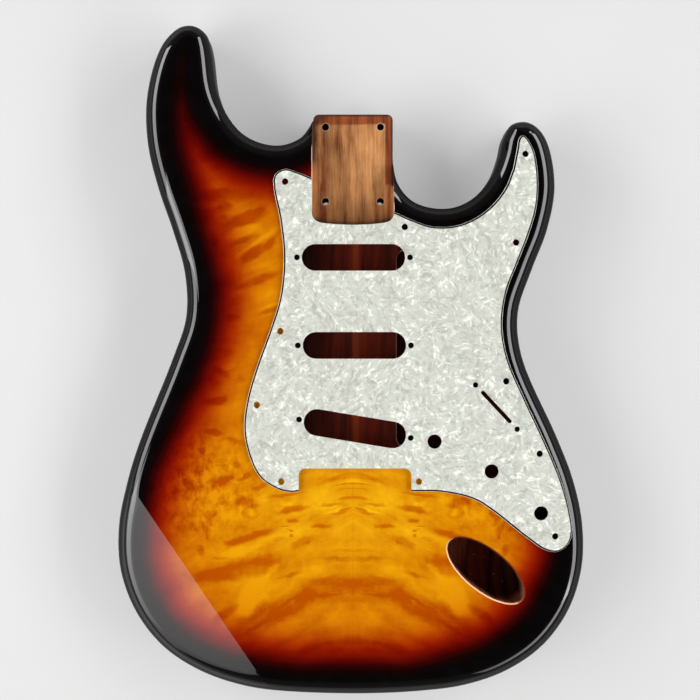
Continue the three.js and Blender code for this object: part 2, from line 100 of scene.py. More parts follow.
# How far the bevel stands out at the foot of each ply and at the face
GUARD_OUTSETS = [1.42, 1.15, 0.03, 0.0, 0.0]
GUARD_TOP = THICK + sum(PLIES.values())
GUARD_LOW, GUARD_HIGH = THICK - OVERRUN, GUARD_TOP + OVERRUN
SLOT_LONG, SLOT_WIDE, PICKUP_SCREWS, PICKUP_SCREW_BORE = 70.4, 18.2, 77.0, 4.0
GUARD_SCREW_BORE, GUARD_SCREW_SINK, POT_BORE = 4.4, 0.45, 9.7
BRIDGE_CUT_WIDE, BRIDGE_CUT_LONG, BRIDGE_CUT_CORNER = 77.0, 46.0, 5.0
BRIDGE_CUT_EDGE = (0.0044 * WIDE, -0.1616 * LONG)
NECK_CUT_GAP, NECK_CUT_BULGE = 0.3, 1.6
POT_SHARES = [(0.173, -0.122), (0.294, -0.166), (0.399, -0.228)]
SWITCH_PLACE, SWITCH_TURN = (0.304 * WIDE, -0.071 * LONG), math.radians(-46.8)
SWITCH_SLOT_LONG, SWITCH_SLOT_WIDE, SWITCH_SCREWS, SWITCH_SCREW_BORE = 29.5, 2.8, 41.3, 3.8

# Outlines as shares of the body's width and length
HEEL_SIDE = HEEL_WIDE / 2 / WIDE
OUTLINE_SHARES = [
    (-HEEL_SIDE, 0.358), (-0.096, 0.345), (-0.113, 0.331), (-0.154, 0.32), (-0.201, 0.324),
    (-0.242, 0.34), (-0.274, 0.369), (-0.294, 0.404), (-0.306, 0.466), (-0.316, 0.486),
    (-0.34, 0.498), (-0.369, 0.497), (-0.4, 0.48), (-0.423, 0.451), (-0.444, 0.387),
    (-0.441, 0.32), (-0.419, 0.256), (-0.388, 0.193), (-0.362, 0.129), (-0.359, 0.063),
    (-0.388, 0), (-0.459, -0.124), (-0.487, -0.187), (-0.507, -0.253), (-0.505, -0.32),
    (-0.472, -0.384), (-0.411, -0.437), (-0.328, -0.472), (-0.236, -0.491), (-0.14, -0.498),
    (0.02, -0.501), (0.147, -0.497), (0.241, -0.488), (0.331, -0.466), (0.409, -0.428),
    (0.464, -0.375), (0.492, -0.312), (0.493, -0.245), (0.473, -0.18), (0.439, -0.118),
    (0.363, 0.004), (0.355, 0.069), (0.384, 0.132), (0.418, 0.194), (0.434, 0.259),
    (0.418, 0.324), (0.395, 0.347), (0.369, 0.355), (0.34, 0.35), (0.324, 0.331),
    (0.315, 0.304), (0.297, 0.272), (0.261, 0.242), (0.218, 0.227), (0.171, 0.226),
    (0.127, 0.237), (0.097, 0.262), (0.087, 0.291), (HEEL_SIDE, 0.325), (HEEL_SIDE, 0.358),
]
GUARD_TREBLE_SHARES = [
    (0.353, 0.312), (0.3555, 0.323), (0.361, 0.328), (0.375, 0.315), (0.383, 0.3), (0.389, 0.262),
    (0.385, 0.223), (0.37, 0.187), (0.345, 0.142), (0.321, 0.097), (0.313, 0.047), (0.325, -0.001),
    (0.361, -0.06), (0.4, -0.118), (0.436, -0.177), (0.455, -0.223), (0.461, -0.255),
    (0.454, -0.272), (0.435, -0.282), (0.41, -0.28), (0.373, -0.263), (0.298, -0.222),
    (0.258, -0.205), (0.19, -0.194), (0.125, -0.193),
]
GUARD_BASS_SHARES = [
    (-0.112, -0.193), (-0.131, -0.194), (-0.154, -0.191), (-0.193, -0.174), (-0.215, -0.145),
    (-0.227, -0.105), (-0.221, -0.063), (-0.202, -0.016), (-0.171, 0.044), (-0.151, 0.09),
    (-0.143, 0.149), (-0.151, 0.207), (-0.164, 0.252), (-0.163, 0.27), (-0.145, 0.278),
    (-0.121, 0.274), (-0.07, 0.259),
]
GUARD_CUTAWAY_SHARES = [
    (0.06, 0.224), (0.092, 0.213), (0.124, 0.203), (0.169, 0.193), (0.217, 0.194), (0.26, 0.205),
    (0.298, 0.225), (0.327, 0.251), (0.344, 0.28),
]
GUARD_SCREW_SHARES = [
    (0.366, 0.303), (-0.144, 0.262), (0.11, 0.195), (0.346, 0.172), (-0.154, 0.041),
    (-0.204, -0.068), (0.325, -0.033), (0.396, -0.14), (-0.152, -0.181), (0.14, -0.181),
    (0.429, -0.262),
]
CONTROL_SHARES = [
    (0.145, -0.074), (0.181, -0.046), (0.255, -0.022), (0.305, -0.041), (0.343, -0.082),
    (0.371, -0.13), (0.405, -0.182), (0.434, -0.221), (0.434, -0.243), (0.399, -0.254),
    (0.324, -0.215), (0.255, -0.184), (0.181, -0.171), (0.14, -0.156), (0.13, -0.12),
]
CHAMBER_SHARES = {
    "bass_upper": [
        (-0.193, 0.252), (-0.324, 0.299), (-0.361, 0.243), (-0.312, 0.143), (-0.302, 0.056),
        (-0.343, -0.03), (-0.349, -0.104), (-0.28, -0.13), (-0.187, -0.104), (-0.174, 0.065),
    ],
    "bass_lower": [
        (-0.181, -0.182), (-0.312, -0.169), (-0.393, -0.204), (-0.343, -0.273),
        (-0.243, -0.369), (-0.181, -0.403), (-0.162, -0.304),
    ],
    "treble_upper": [
        (0.193, 0.169), (0.299, 0.195), (0.361, 0.256), (0.368, 0.2), (0.33, 0.139),
        (0.302, 0.074), (0.293, 0.017), (0.199, 0.009), (0.181, 0.087),
    ],
    "treble_lower": [
        (0.143, -0.226), (0.174, -0.256), (0.181, -0.343), (0.243, -0.39), (0.324, -0.412),
        (0.262, -0.443), (0.162, -0.438), (0.118, -0.347),
    ],
}


# Curves


def places(shares):
    return np.array(shares, float) * (WIDE, LONG)


def smooth_run(knots, steps=6, closed=False):
    """A smooth line through the knots, with the square root of each chord as its pace."""
    knots = np.asarray(knots, float)
    if closed:
        padded = np.vstack([knots[-1], knots, knots[:2]])
    else:
        padded = np.vstack([2 * knots[0] - knots[1], knots, 2 * knots[-1] - knots[-2]])
    line = []
    for i in range(len(padded) - 3):
        p = padded[i:i + 4]
        t = np.concatenate([[0], np.cumsum(np.sqrt(np.linalg.norm(np.diff(p, axis=0), axis=1)))])
        for s in np.arange(steps) / steps:
            u = t[1] + (t[2] - t[1]) * s
            a = [((t[k + 1] - u) * p[k] + (u - t[k]) * p[k + 1]) / (t[k + 1] - t[k])
                 for k in range(3)]
            b = [((t[k + 2] - u) * a[k] + (u - t[k]) * a[k + 1]) / (t[k + 2] - t[k])
                 for k in range(2)]
            line.append(((t[2] - u) * b[0] + (u - t[1]) * b[1]) / (t[2] - t[1]))
    if not closed:
        line.append(knots[-1])
    return np.array(line)


def arc(x, y, radius, start, end, steps):
    angles = np.radians(np.linspace(start, end, steps + 1))
    return np.stack([x + radius * np.cos(angles), y + radius * np.sin(angles)], 1)


def turned(points, turn, centre):
    c, s = math.cos(turn), math.sin(turn)
    return points @ np.array([[c, s], [-s, c]]) + centre


def round_rectangle(centre, long, wide, corner, turn=0.0, steps=8):
    x, y = long / 2 - corner, wide / 2 - corner
    corners = [(x, y, 0), (-x, y, 90), (-x, -y, 180), (x, -y, 270)]
    points = np.vstack([arc(cx, cy, corner, a, a + 90, steps) for cx, cy, a in corners])
    return turned(points, turn, centre)


def oval(centre, long, wide, turn=0.0, steps=72):
    angles = np.arange(steps) * 2 * math.pi / steps
    points = np.stack([long / 2 * np.cos(angles), wide / 2 * np.sin(angles)], 1)
    return turned(points, turn, centre)


def hole(centre, bore, steps=32):
    return oval(centre, bore, bore, 0.0, steps)


def slot(centre, long, wide, turn, steps=16):
    x = (long - wide) / 2
    ends = [arc(x, 0, wide / 2, -90, 90, steps), arc(-x, 0, wide / 2, 90, 270, steps)]
    return turned(np.vstack(ends), turn, centre)


def inward(points):
    """For each point of an outline, the direction into it."""
    along = np.roll(points, -1, 0) - np.roll(points, 1, 0)
    along /= np.linalg.norm(along, axis=1)[:, None]
    area = np.sum(points[:, 0] * np.roll(points[:, 1], -1) - points[:, 1] * np.roll(points[:, 0], -1))
    return np.stack([-along[:, 1], along[:, 0]], 1) * (1 if area > 0 else -1)


def pair_along(centre, span, turn):
    return turned(np.array([(-span / 2, 0.0), (span / 2, 0.0)]), turn, centre)


OUTLINE = np.vstack([
    smooth_run(places(OUTLINE_SHARES)),
    arc(HEEL_WIDE / 2 - HEEL_CORNER, HEEL_END - HEEL_CORNER, HEEL_CORNER, 0, 90, 6),
    arc(HEEL_CORNER - HEEL_WIDE / 2, HEEL_END - HEEL_CORNER, HEEL_CORNER, 90, 180, 6),
])
GUARD_OUTLINE = np.vstack([
    smooth_run(places(shares))
    for shares in (GUARD_TREBLE_SHARES, GUARD_BASS_SHARES, GUARD_CUTAWAY_SHARES)
])[::-1]

# Heights of the body's two faces
CREASE_ALONG = (CREASE_END - CREASE_START) / np.linalg.norm(CREASE_END - CREASE_START)
CREASE_OUT = np.array([CREASE_ALONG[1], -CREASE_ALONG[0]])
BELLY_SLOPE = BELLY_DEPTH / (BELLY_FADE_X - BELLY_DEEPEST_X)


def past_crease(xy):
    return (xy - CREASE_START) @ CREASE_OUT


def eased(depth, soft):
    """A depth where it is above 0, with a start that is rounded off over about twice soft."""
    share = depth / soft
    straight_on = 30
    curved = soft * np.log1p(np.exp(np.minimum(share, straight_on)))
    return np.where(share > straight_on, depth, curved)


def front_drop(xy, soft):
    """How deep the forearm slope lies below the face."""
    return eased(past_crease(xy), soft) * math.tan(SLOPE_TILT)


def back_rise(xy):
    """How high the belly scoop lies above the back, with the soft edge that sanding leaves."""
    crest = BELLY_SLOPE * (BELLY_FADE_X - xy[:, 0])
    across = np.minimum(np.abs(xy[:, 1] - BELLY_Y), BELLY_RADIUS)
    sag = BELLY_RADIUS - np.sqrt(BELLY_RADIUS ** 2 - across ** 2)
    return eased(crest - sag * math.hypot(1, BELLY_SLOPE), BELLY_SOFT)


def rim_distance(spots):
    """How far each of some places, seen from the front, lies from the body's outline."""
    along = np.roll(OUTLINE, -1, 0) - OUTLINE
    long = (along ** 2).sum(1)
    rim = np.empty(len(spots))
    at_once = 2000
    for first in range(0, len(spots), at_once):
        some = spots[first:first + at_once, None] - OUTLINE
        share = np.clip((some * along).sum(2) / long, 0, 1)
        away = some - share[..., None] * along
        rim[first:first + at_once] = np.sqrt((away ** 2).sum(2)).min(1)
    return rim


# Modelling helpers


def let_go():
    if bpy.context.object and bpy.context.object.mode != "OBJECT":
        bpy.ops.object.mode_set(mode="OBJECT")
    bpy.ops.object.select_all(action="DESELECT")


def take(piece):
    let_go()
    piece.select_set(True)
    bpy.context.view_layer.objects.active = piece


def turn_faces_out():
    """Ends the shaping of a closed piece."""
    bpy.ops.mesh.select_all(action="SELECT")
    bpy.ops.mesh.normals_make_consistent(inside=False)
    bpy.ops.object.mode_set(mode="OBJECT")


def raised(name, rings, finish=None, ring_finishes=None):
    """A closed piece raised from a flat circle, one ring of points at a time, in millimetres.
    ring_finishes gives another finish to the band above the ring with that number."""
    let_go()
    count = len(rings[0])
    bands = ring_finishes or {}
    bpy.ops.mesh.primitive_circle_add(vertices=count, fill_type="NGON")
    piece = bpy.context.object
    piece.name = piece.data.name = name
    for each in filter(None, [finish, *bands.values()]):
        piece.data.materials.append(each)
    bpy.ops.object.mode_set(mode="EDIT")
    mesh = bmesh.from_edit_mesh(piece.data)
    order = mesh.verts.layers.int.new("order")
    mesh.verts.ensure_lookup_table()
    for i, vertex in enumerate(mesh.verts):
        vertex[order] = i
        vertex.co = Vector(rings[0][i]) * MM
    bmesh.update_edit_mesh(piece.data)
    for number, ring in enumerate(rings[1:]):
        bpy.ops.mesh.extrude_region_move()
        mesh = bmesh.from_edit_mesh(piece.data)
        order = mesh.verts.layers.int["order"]
        for vertex in mesh.verts:
            if vertex.select:
                vertex.co = Vector(ring[vertex[order]]) * MM
        if number in bands:
            band = piece.data.materials.find(bands[number].name)
            for face in mesh.faces:
                shared = sum(v.select for v in face.verts)
                if 0 < shared < len(face.verts):
                    face.material_index = band
        bmesh.update_edit_mesh(piece.data)
    turn_faces_out()
    piece.data.attributes.remove(piece.data.attributes["order"])
    return piece


def level(points, z):
    points = np.asarray(points, float)
    return np.column_stack([points, np.full(len(points), float(z))])


def straight(name, points, low, high, finish=None):
    return raised(name, [level(points, low), level(points, high)], finish)


def flared(name, points, floor, face, arris, finish, rim):
    """A cutter whose walls open just below the face it cuts, with its arris in the rim's finish."""
    out, drop = arris
    wider = points - inward(points) * out
    rings = [level(points, floor), level(points, face - drop), level(wider, face),
             level(wider, THICK + OVERRUN)]
    return raised(name, rings, finish, {1: rim})


def copied(piece, name):
    twin = piece.copy()
    twin.data = piece.data.copy()
    twin.name = twin.data.name = name
    bpy.context.scene.collection.objects.link(twin)
    return twin


def join_all(name, pieces):
    take(pieces[0])
    for piece in pieces[1:]:
        piece.select_set(True)
    bpy.ops.object.join()
    whole = bpy.context.object
    whole.name = whole.data.name = name
    return whole


def cut(piece, cutter, operation="DIFFERENCE", keep=False):
    take(piece)
    knife = piece.modifiers.new("cut", "BOOLEAN")
    knife.operation, knife.object, knife.solver = operation, cutter, "MANIFOLD"
    knife.material_mode = "TRANSFER"
    bpy.ops.object.modifier_apply(modifier=knife.name)
    if not keep:
        bpy.data.objects.remove(cutter, do_unlink=True)
    return piece


def pick_faces(piece, wanted):
    """Selects the faces for which wanted(centre in mm, normal) is true."""
    bpy.ops.mesh.select_all(action="DESELECT")
    mesh = bmesh.from_edit_mesh(piece.data)
    for face in mesh.faces:
        face.select = bool(wanted(face.calc_center_median() / MM, face.normal))
    mesh.select_flush_mode()
    bmesh.update_edit_mesh(piece.data)


def sliced(point, normal, **more):
    """Cuts what is selected along a plane, through a point in millimetres."""
    spot = [v * MM for v in point]
    bpy.ops.mesh.bisect(plane_co=spot, plane_no=tuple(normal), threshold=TOUCHING, **more)


def vertex_places(piece):
    spots = np.empty(len(piece.data.vertices) * 3)
    piece.data.vertices.foreach_get("co", spots)
    return spots.reshape(-1, 3) / MM


# Finishes, with shader values as expressions


def maths(operation, swapped=False):
    """A method that adds one Math node to a wire."""
    def method(wire, *others):
        values = (*others, wire) if swapped else (wire, *others)
        return wire.nodes.add("ShaderNodeMath", {"operation": operation}, dict(enumerate(values)))
    return method


class Wire:
    """A shader socket that adds, multiplies and compares like a number."""

    def __init__(self, nodes, socket):
        self.nodes, self.socket = nodes, socket

    __add__ = __radd__ = maths("ADD")
    __mul__ = __rmul__ = maths("MULTIPLY")
    __sub__ = maths("SUBTRACT")
    __rsub__ = maths("SUBTRACT", swapped=True)
    __truediv__ = maths("DIVIDE")
    __pow__ = maths("POWER")
    __abs__ = maths("ABSOLUTE")
    sine = maths("SINE")
    at_least = maths("MAXIMUM")
    at_most = maths("MINIMUM")

    def clipped(self):
        return self.at_least(0).at_most(1)

    def between(self, low, high):
        """0 below low, 1 above high, smooth in between."""
        return self.nodes.add("ShaderNodeMapRange", {"interpolation_type": "SMOOTHSTEP"},
                              {"Value": self, "From Min": low, "From Max": high})


class Nodes:
    """The nodes of a finish, a lamp or the air, one call for each."""

    def __init__(self, owner):
        owner.use_nodes = True
        self.tree = owner.node_tree
        self.tree.nodes.clear()

    def add(self, kind, settings=None, sockets=None, out=0):
        node = self.tree.nodes.new(kind)
        for key, value in (settings or {}).items():
            if key == "stops":
                ramp = node.color_ramp
                while len(ramp.elements) < len(value):
                    ramp.elements.new(0.5)
                for element, (spot, tone) in zip(ramp.elements, value):
                    element.position = spot
                    element.color = (*tone, 1)
            else:
                setattr(node, key, value)
        for key, value in (sockets or {}).items():
            if isinstance(value, Wire):
                self.tree.links.new(value.socket, node.inputs[key])
            elif isinstance(value, tuple) and len(value) == 3 and node.inputs[key].type == "RGBA":
                node.inputs[key].default_value = (*value, 1)
            else:
                node.inputs[key].default_value = value
        return Wire(self, node.outputs[out]) if node.outputs else node

    def parts(self, vector):
        """The three numbers of a vector."""
        first = self.add("ShaderNodeSeparateXYZ", None, {0: vector})
        return [Wire(self, number) for number in first.socket.node.outputs]

    def vector(self, x=0.0, y=0.0, z=0.0):
        return self.add("ShaderNodeCombineXYZ", None, {0: x, 1: y, 2: z})

    def noise(self, spot, detail=2.0, rough=0.5):
        """Clouds of values about 0.5, each cloud about one unit wide in the given coordinates."""
        return self.add("ShaderNodeTexNoise", None, {
            "Vector": self.vector(*spot), "Scale": 1.0, "Detail": detail, "Roughness": rough})

    def cells(self, vector, scale=1.0, out="Distance", dimensions="3D"):
        return self.add("ShaderNodeTexVoronoi", {"voronoi_dimensions": dimensions},
                        {"Vector": vector, "Scale": scale}, out)

    def mixed(self, share, first, second, blend="MIX"):
        settings = {"data_type": "RGBA", "blend_type": blend, "clamp_factor": True}
        return self.add("ShaderNodeMix", settings, {0: share, 6: first, 7: second}, out=2)

    def lens(self, field, x, y, long, wide, tilt=0.0, soft=1.0):
        """1 in the middle of a soft-edged oval that lies in the field at x and y, 0 outside."""
        spot = self.add("ShaderNodeMapping", {"vector_type": "TEXTURE"}, {
            "Vector": field, "Location": (x, y, 0.0), "Rotation": (0.0, 0.0, math.radians(tilt)),
            "Scale": (long, wide, 1.0)})
        ball = self.add("ShaderNodeTexGradient", {"gradient_type": "SPHERICAL"}, {0: spot}, "Fac")
        return ball.between(0.0, soft)

    def darkened(self, value, field, ovals, grown, soft, deep=1.0):
        """A value made less in each oval of a table, with the ovals grown by two factors."""
        for x, y, long, wide, tilt, dark in ovals:
            inside = self.lens(field, x, y, long * grown[0], wide * grown[1], tilt, soft)
            value = value - inside * (dark * deep)
        return value

    def ramp(self, value, stops):
        return self.add("ShaderNodeValToRGB", {"stops": stops}, {0: value})

    def bump(self, height, strength, distance):
        return self.add("ShaderNodeBump", None, {
            "Height": height, "Strength": strength, "Distance": distance})


class Finish(Nodes):
    """A material, with the place on the piece in millimetres, whole and as x, y and z."""

    def __init__(self, name):
        self.material = bpy.data.materials.new(name)
        super().__init__(self.material)
        spot = self.add("ShaderNodeTexCoord", out="Object")
        self.place = self.add("ShaderNodeVectorMath", {"operation": "SCALE"},
                              {0: spot, "Scale": 1 / MM})
        self.xyz = self.parts(self.place)

    def end(self, shader):
        self.add("ShaderNodeOutputMaterial", None, {0: shader})
        return self.material

    def surface(self, **sockets):
        """Ends the material in one principled surface."""
        shown = {key.replace("_", " ").title().replace("Ior", "IOR"): value
                 for key, value in sockets.items()}
        return self.end(self.add("ShaderNodeBsdfPrincipled", None, shown))


def paint(red, green, blue):
    """A colour written in the usual 0 to 255 steps, for a shader."""
    steps = [v / 255 for v in (red, green, blue)]
    return tuple(v / 12.92 if v <= 0.04045 else ((v + 0.055) / 1.055) ** 2.4 for v in steps)


BURST = [
    (0, (7, 6, 6)), (14, (8, 5, 5)), (18, (20, 3, 3)), (22, (50, 3, 2)), (26, (90, 6, 2)),
    (30, (120, 15, 1)), (34, (145, 30, 1)), (38, (160, 50, 1)), (42, (178, 72, 2)),
    (46, (185, 87, 3)), (50, (195, 100, 3)), (58, (203, 113, 4)), (72, (208, 122, 4)),
    (92, (213, 131, 5)), (114, (222, 146, 9)), (130, (224, 150, 10)),
]


def rim_of(f):
    """How far the place lies from the body's outline, which shade_by_rim has written."""
    return f.add("ShaderNodeAttribute", {"attribute_name": "rim"}, out="Fac")


def burst_colour(f, rim, shades):
    last = shades[-1][0]
    return f.ramp(rim / last, [(away / last, paint(*tone)) for away, tone in shades])


# Billows of the quilt, alike on both sides of the centre line: distance from it, y, half length,
# half width, tilt in degrees, and how much darker (or, below 0, lighter)
BILLOWS = [
    (12, -158, 32, 8.5, 0, 0.44), (56, -174, 32, 7.5, -26, 0.46), (22, -161.5, 17, 1, -4, 0.2),
    (47, -167.5, 12, 1, -32, 0.22), (66, -183, 12, 1.6, -33, 0.25), (36, -163, 9, 0.9, -8, 0.2),
    (76, -143, 33, 6.6, -9, 0.36), (60, -137, 12, 5, -22, 0.2), (96, -149, 18, 5.5, 0, 0.14),
    (70, -121.5, 18, 2.8, -14, 0.45), (80, -124.5, 8, 2.4, -8, 0.2), (50, -123.5, 5, 1.6, 0, 0.2),
    (42, -103, 11, 2.8, -11, 0.55), (72, -97.5, 8, 3.4, 15, 0.45), (66, -100, 4, 1.6, 8, 0.25),
    (63, -87, 7, 1.8, -22, 0.4), (47, -93, 14, 1.3, -8, 0.32), (41, -110, 4.5, 1.5, 5, 0.35),
    (46, -114.2, 3.4, 0.8, 0, 0.35), (22, -114, 8, 1.8, -6, 0.38), (34, -124.5, 9, 3, -28, 0.3),
    (10, -136.5, 12, 1.5, 3, 0.24), (4, -130.5, 11, 1.2, 0, 0.18),
    (42, -147, 9, 1.5, -16, 0.26), (98, -108, 5.5, 3.2, 62, 0.35), (101, -117, 6, 2.2, 74, 0.3),
    (104, -131, 5, 2.6, 60, 0.32), (91, -136, 7, 1, 0, 0.24), (87, -174, 11, 3.6, -40, 0.45),
    (25, -196.5, 15, 2, -15, 0.32), (3, -192, 7, 3.2, 0, 0.28), (15, -99.5, 9, 1.2, -2, 0.34),
    (7, -103.3, 7, 1.4, -24, 0.34), (21, -110, 8, 2.2, -14, 0.16), (45, -96, 3, 1.2, 0, 0.2),
    (88, 112, 23, 4.2, 0, 0.3), (89, 114, 5, 3, 0, 0.26), (87, 104, 6, 3.4, 0, 0.36),
    (88, 97, 3, 2, 0, 0.3), (73, 96, 16, 4.4, -16, 0.6), (64, 101, 7, 2.2, -34, 0.3),
    (76, 80.5, 11, 2.2, -20, 0.34), (66, 73, 17, 3.6, -31, 0.56), (54, 83, 8, 2, -48, 0.34),
    (64, 54, 17, 3, -22, 0.46), (86, 51, 9, 3, 4, 0.22), (57, 33, 8, 1.7, -22, 0.4),
    (82, 28, 6.5, 2.6, 6, 0.36), (95, 81, 6, 3, 78, 0.28), (94, -29, 8, 2.6, 2, 0.5),
    (90, -27, 4, 3.4, 0, 0.18), (95, -50, 7, 2.2, 10, 0.46), (100, -53, 4, 3, 40, 0.26),
    (81, -56, 7, 2, 14, 0.36), (90, -9, 7, 2.4, 34, 0.38), (86, 4, 5, 3, 0, 0.26),
    (94, -15, 4.5, 6, 0, 0.24), (76, -14, 3.4, 3, 0, 0.22), (103, -61, 10, 2.2, 84, 0.36),
    (87, -74, 2.6, 1.6, 70, 0.34), (80, -72.5, 3.4, 2.6, 30, 0.34), (98, -77, 4.2, 1.6, 62, 0.32),
    (104, -78, 2.8, 2.2, 0, 0.3), (87, -82, 7, 2.4, -14, 0.42), (74, -80, 6.5, 2, -28, 0.36),
    (111, -86, 5, 4, 50, 0.32), (98, 140, 9, 4, 0, 0.2), (112, 152, 5, 9, 0, 0.3),
    (68, -161, 16, 8, -48, -0.3), (50, -157, 13, 6, -14, -0.16), (75, -131, 15, 3.4, -14, -0.3),
    (25, -146, 12, 4, -8, -0.26), (56, -144.5, 7, 2.4, -48, -0.26), (73, -172, 8, 4, -40, -0.2),
    (6, -176, 12, 6, 0, -0.2), (50, -187, 18, 5, -24, -0.2), (38, -194, 12, 3.4, -24, -0.34),
    (20, -204, 24, 3.4, -8, -0.34), (14, -104, 9, 0.6, -20, -0.2), (17, -101.4, 8, 0.5, -8, -0.16),
    (46, -98, 5, 2.2, 0, -0.2), (76, 87, 13, 3.2, -18, -0.4), (67, 79, 17, 1.3, -36, -0.3),
    (79, 66, 2.4, 8, 0, -0.26), (92, 63, 11, 6, 0, -0.34), (96, 86, 6, 6, 0, -0.3),
    (90, 34, 8, 8, 0, -0.26), (63, 44, 9, 4.6, -20, -0.2), (80, 44.5, 7, 1.8, -16, -0.26),
    (57, 36.4, 8, 0.9, -22, -0.26), (100, 105, 12, 2.4, 0, -0.34), (85, -5, 4.6, 2.2, -20, -0.36),
    (62, -96.5, 6, 3.4, -40, -0.2), (98, -99, 4, 9, 20, -0.16), (64, 63, 12, 2, -20, -0.2),
]
# Arches below the bridge's place and small pins, in the same numbers, and a curl without the last
ARCHES = [(0, -79.5, 26, 2.4, 0, 0.36), (0, -84.9, 15, 0.7, 0, 0.4), (0, -83.6, 15, 0.6, 0, -0.18),
          (0, -88.1, 13, 0.6, 0, 0.2), (0, -94.6, 13, 1.1, 0, 0.34)]
PINS = [(42, -117.4, 1.9, 0.9, 0, 0.5), (42, -120.4, 1.5, 1.3, 0, 0.6), (43.5, -116.4, 3.2, 0.6, 14, 0.3)]
CURL = (69.5, -105, 8.5, 6.5, 10)


def lacquered(f, colour, rim, blur):
    """Clear lacquer: full on the rounded edges and the slope, rubbed thinner on the flats and
    where the edge turns into the wall."""
    x, y, z = f.xyz
    wall = rim.between(3.2, 5.0) * 0.7 + 0.3
    past = (x - CREASE_START[0]) * CREASE_OUT[0] + (y - CREASE_START[1]) * CREASE_OUT[1]
    flat = rim.between(8.5, 17.0) * (1 - past.between(-0.5, 0.0))
    peel = f.noise((x * 0.09, y * 0.09, z * 0.09), 1.0)
    return f.surface(base_color=colour, roughness=0.5, coat_weight=wall * (1 - flat * 0.65),
                     coat_roughness=blur, specular_ior_level=0.0, normal=f.bump(peel, 0.05, 0.001))


def sunburst_maple():
    """Clear gloss over a bookmatched, quilted maple leaf with an amber to black burst."""
    f = Finish("sunburst_maple")
    x, y, z = f.xyz
    side, rim = abs(x), rim_of(f)
    drift = f.noise((side / 46, y / 46), 1.0) - 0.5
    sway = f.noise((side / 40 + 7, y / 40 + 3), 1.0) - 0.5
    curl_x = f.noise((side / 9, y / 9, 3.0), 2.0, 0.55) - 0.5
    curl_y = f.noise((side / 11, y / 6, 8.0), 2.5, 0.55) - 0.5
    smooth = 1 - y.between(5, 45) * 0.62
    wavy_side, wavy_y = side + curl_x * smooth * 7, y + curl_y * smooth * 5
    wavy = f.vector(wavy_side, wavy_y)
    billow = f.noise(((side + drift * 30) / 26, (y + sway * 24 + side * 0.35) / 12), 2.0, 0.5)
    feather = f.noise((wavy_side / 9, (wavy_y + side * 0.3) / 1.5), 3.0, 0.6)
    grain = f.noise((side / 0.5, y / 22), 3.0, 0.6)
    pucker = f.noise((wavy_side / 5.4, wavy_y / 8, 5.0), 3.0, 0.6) - 0.5
    pucker = pucker * (f.lens(wavy, 106, -88, 56, 52, 20) * 3.2 + 0.5)
    figure = (billow - 0.5) * 1.25 + (feather - 0.5) * smooth * 0.34 + (grain - 0.5) * 0.2 + pucker + 0.6
    figure = f.darkened(figure, wavy, BILLOWS, (1.35, 1.45), 0.7, 1.24)
    arched = f.vector(side + curl_x * 2, y + side * side / 82 + curl_y * 1.5)
    figure = f.darkened(figure, arched, ARCHES, (1.1, 1.35), 0.6)
    figure = f.darkened(figure, f.vector(side, y), PINS, (1.2, 1.3), 0.6)
    eddy = f.lens(wavy, *CURL)
    figure = figure - (1 - abs(eddy - 0.45) / 0.4).at_least(0) * 0.26 + eddy.between(0.7, 1.0) * 0.14
    seam = (1 - side / 0.5).at_least(0) * 0.12
    tint = f.mixed((figure - seam).clipped(), (0.7, 0.39, 0.18), (1.14, 1.47, 1.8))
    whole = f.vector(x, y)
    shade = rim + (drift + sway) * 4 - f.lens(whole, 116, -176, 95, 66, 30) * 7.5
    shade = shade - f.lens(whole, -116, 178, 60, 95) * 2.4 + f.lens(whole, -132, -96, 40, 60) * 2.5
    colour = f.mixed(1.0, burst_colour(f, shade, BURST), tint, "MULTIPLY")
    return lacquered(f, colour, rim, 0.035)


def sunburst_core():
    """The same burst under gloss on the plain, straight-grained core: its sides and back."""
    f = Finish("sunburst_core")
    x, y, z = f.xyz
    rim = rim_of(f)
    sway = f.noise((x / 60, y / 90), 1.0) - 0.5
    grain = f.noise(((x + sway * 30) / 2.2, y / 60), 4.0, 0.6)
    rings = abs(((x + sway * 34) / 7.5 + grain).sine())
    pores = f.noise((x / 0.35, y / 7), 2.0, 0.6).between(0.62, 0.7)
    shades = [(0, (7, 6, 6)), (14, (9, 5, 5)), (22, (34, 6, 4)), (32, (78, 16, 6)),
              (46, (118, 42, 10)), (64, (146, 70, 20)), (100, (160, 84, 28)), (130, (164, 88, 30))]
    share = (0.35 + (grain - 0.5) * 0.9 + rings * 0.32 - pores * 0.5).clipped()
    tint = f.mixed(share, (0.62, 0.52, 0.45), (1.2, 1.25, 1.3))
    colour = f.mixed(1.0, burst_colour(f, rim + sway * 6, shades), tint, "MULTIPLY")
    return lacquered(f, colour, rim, 0.04)


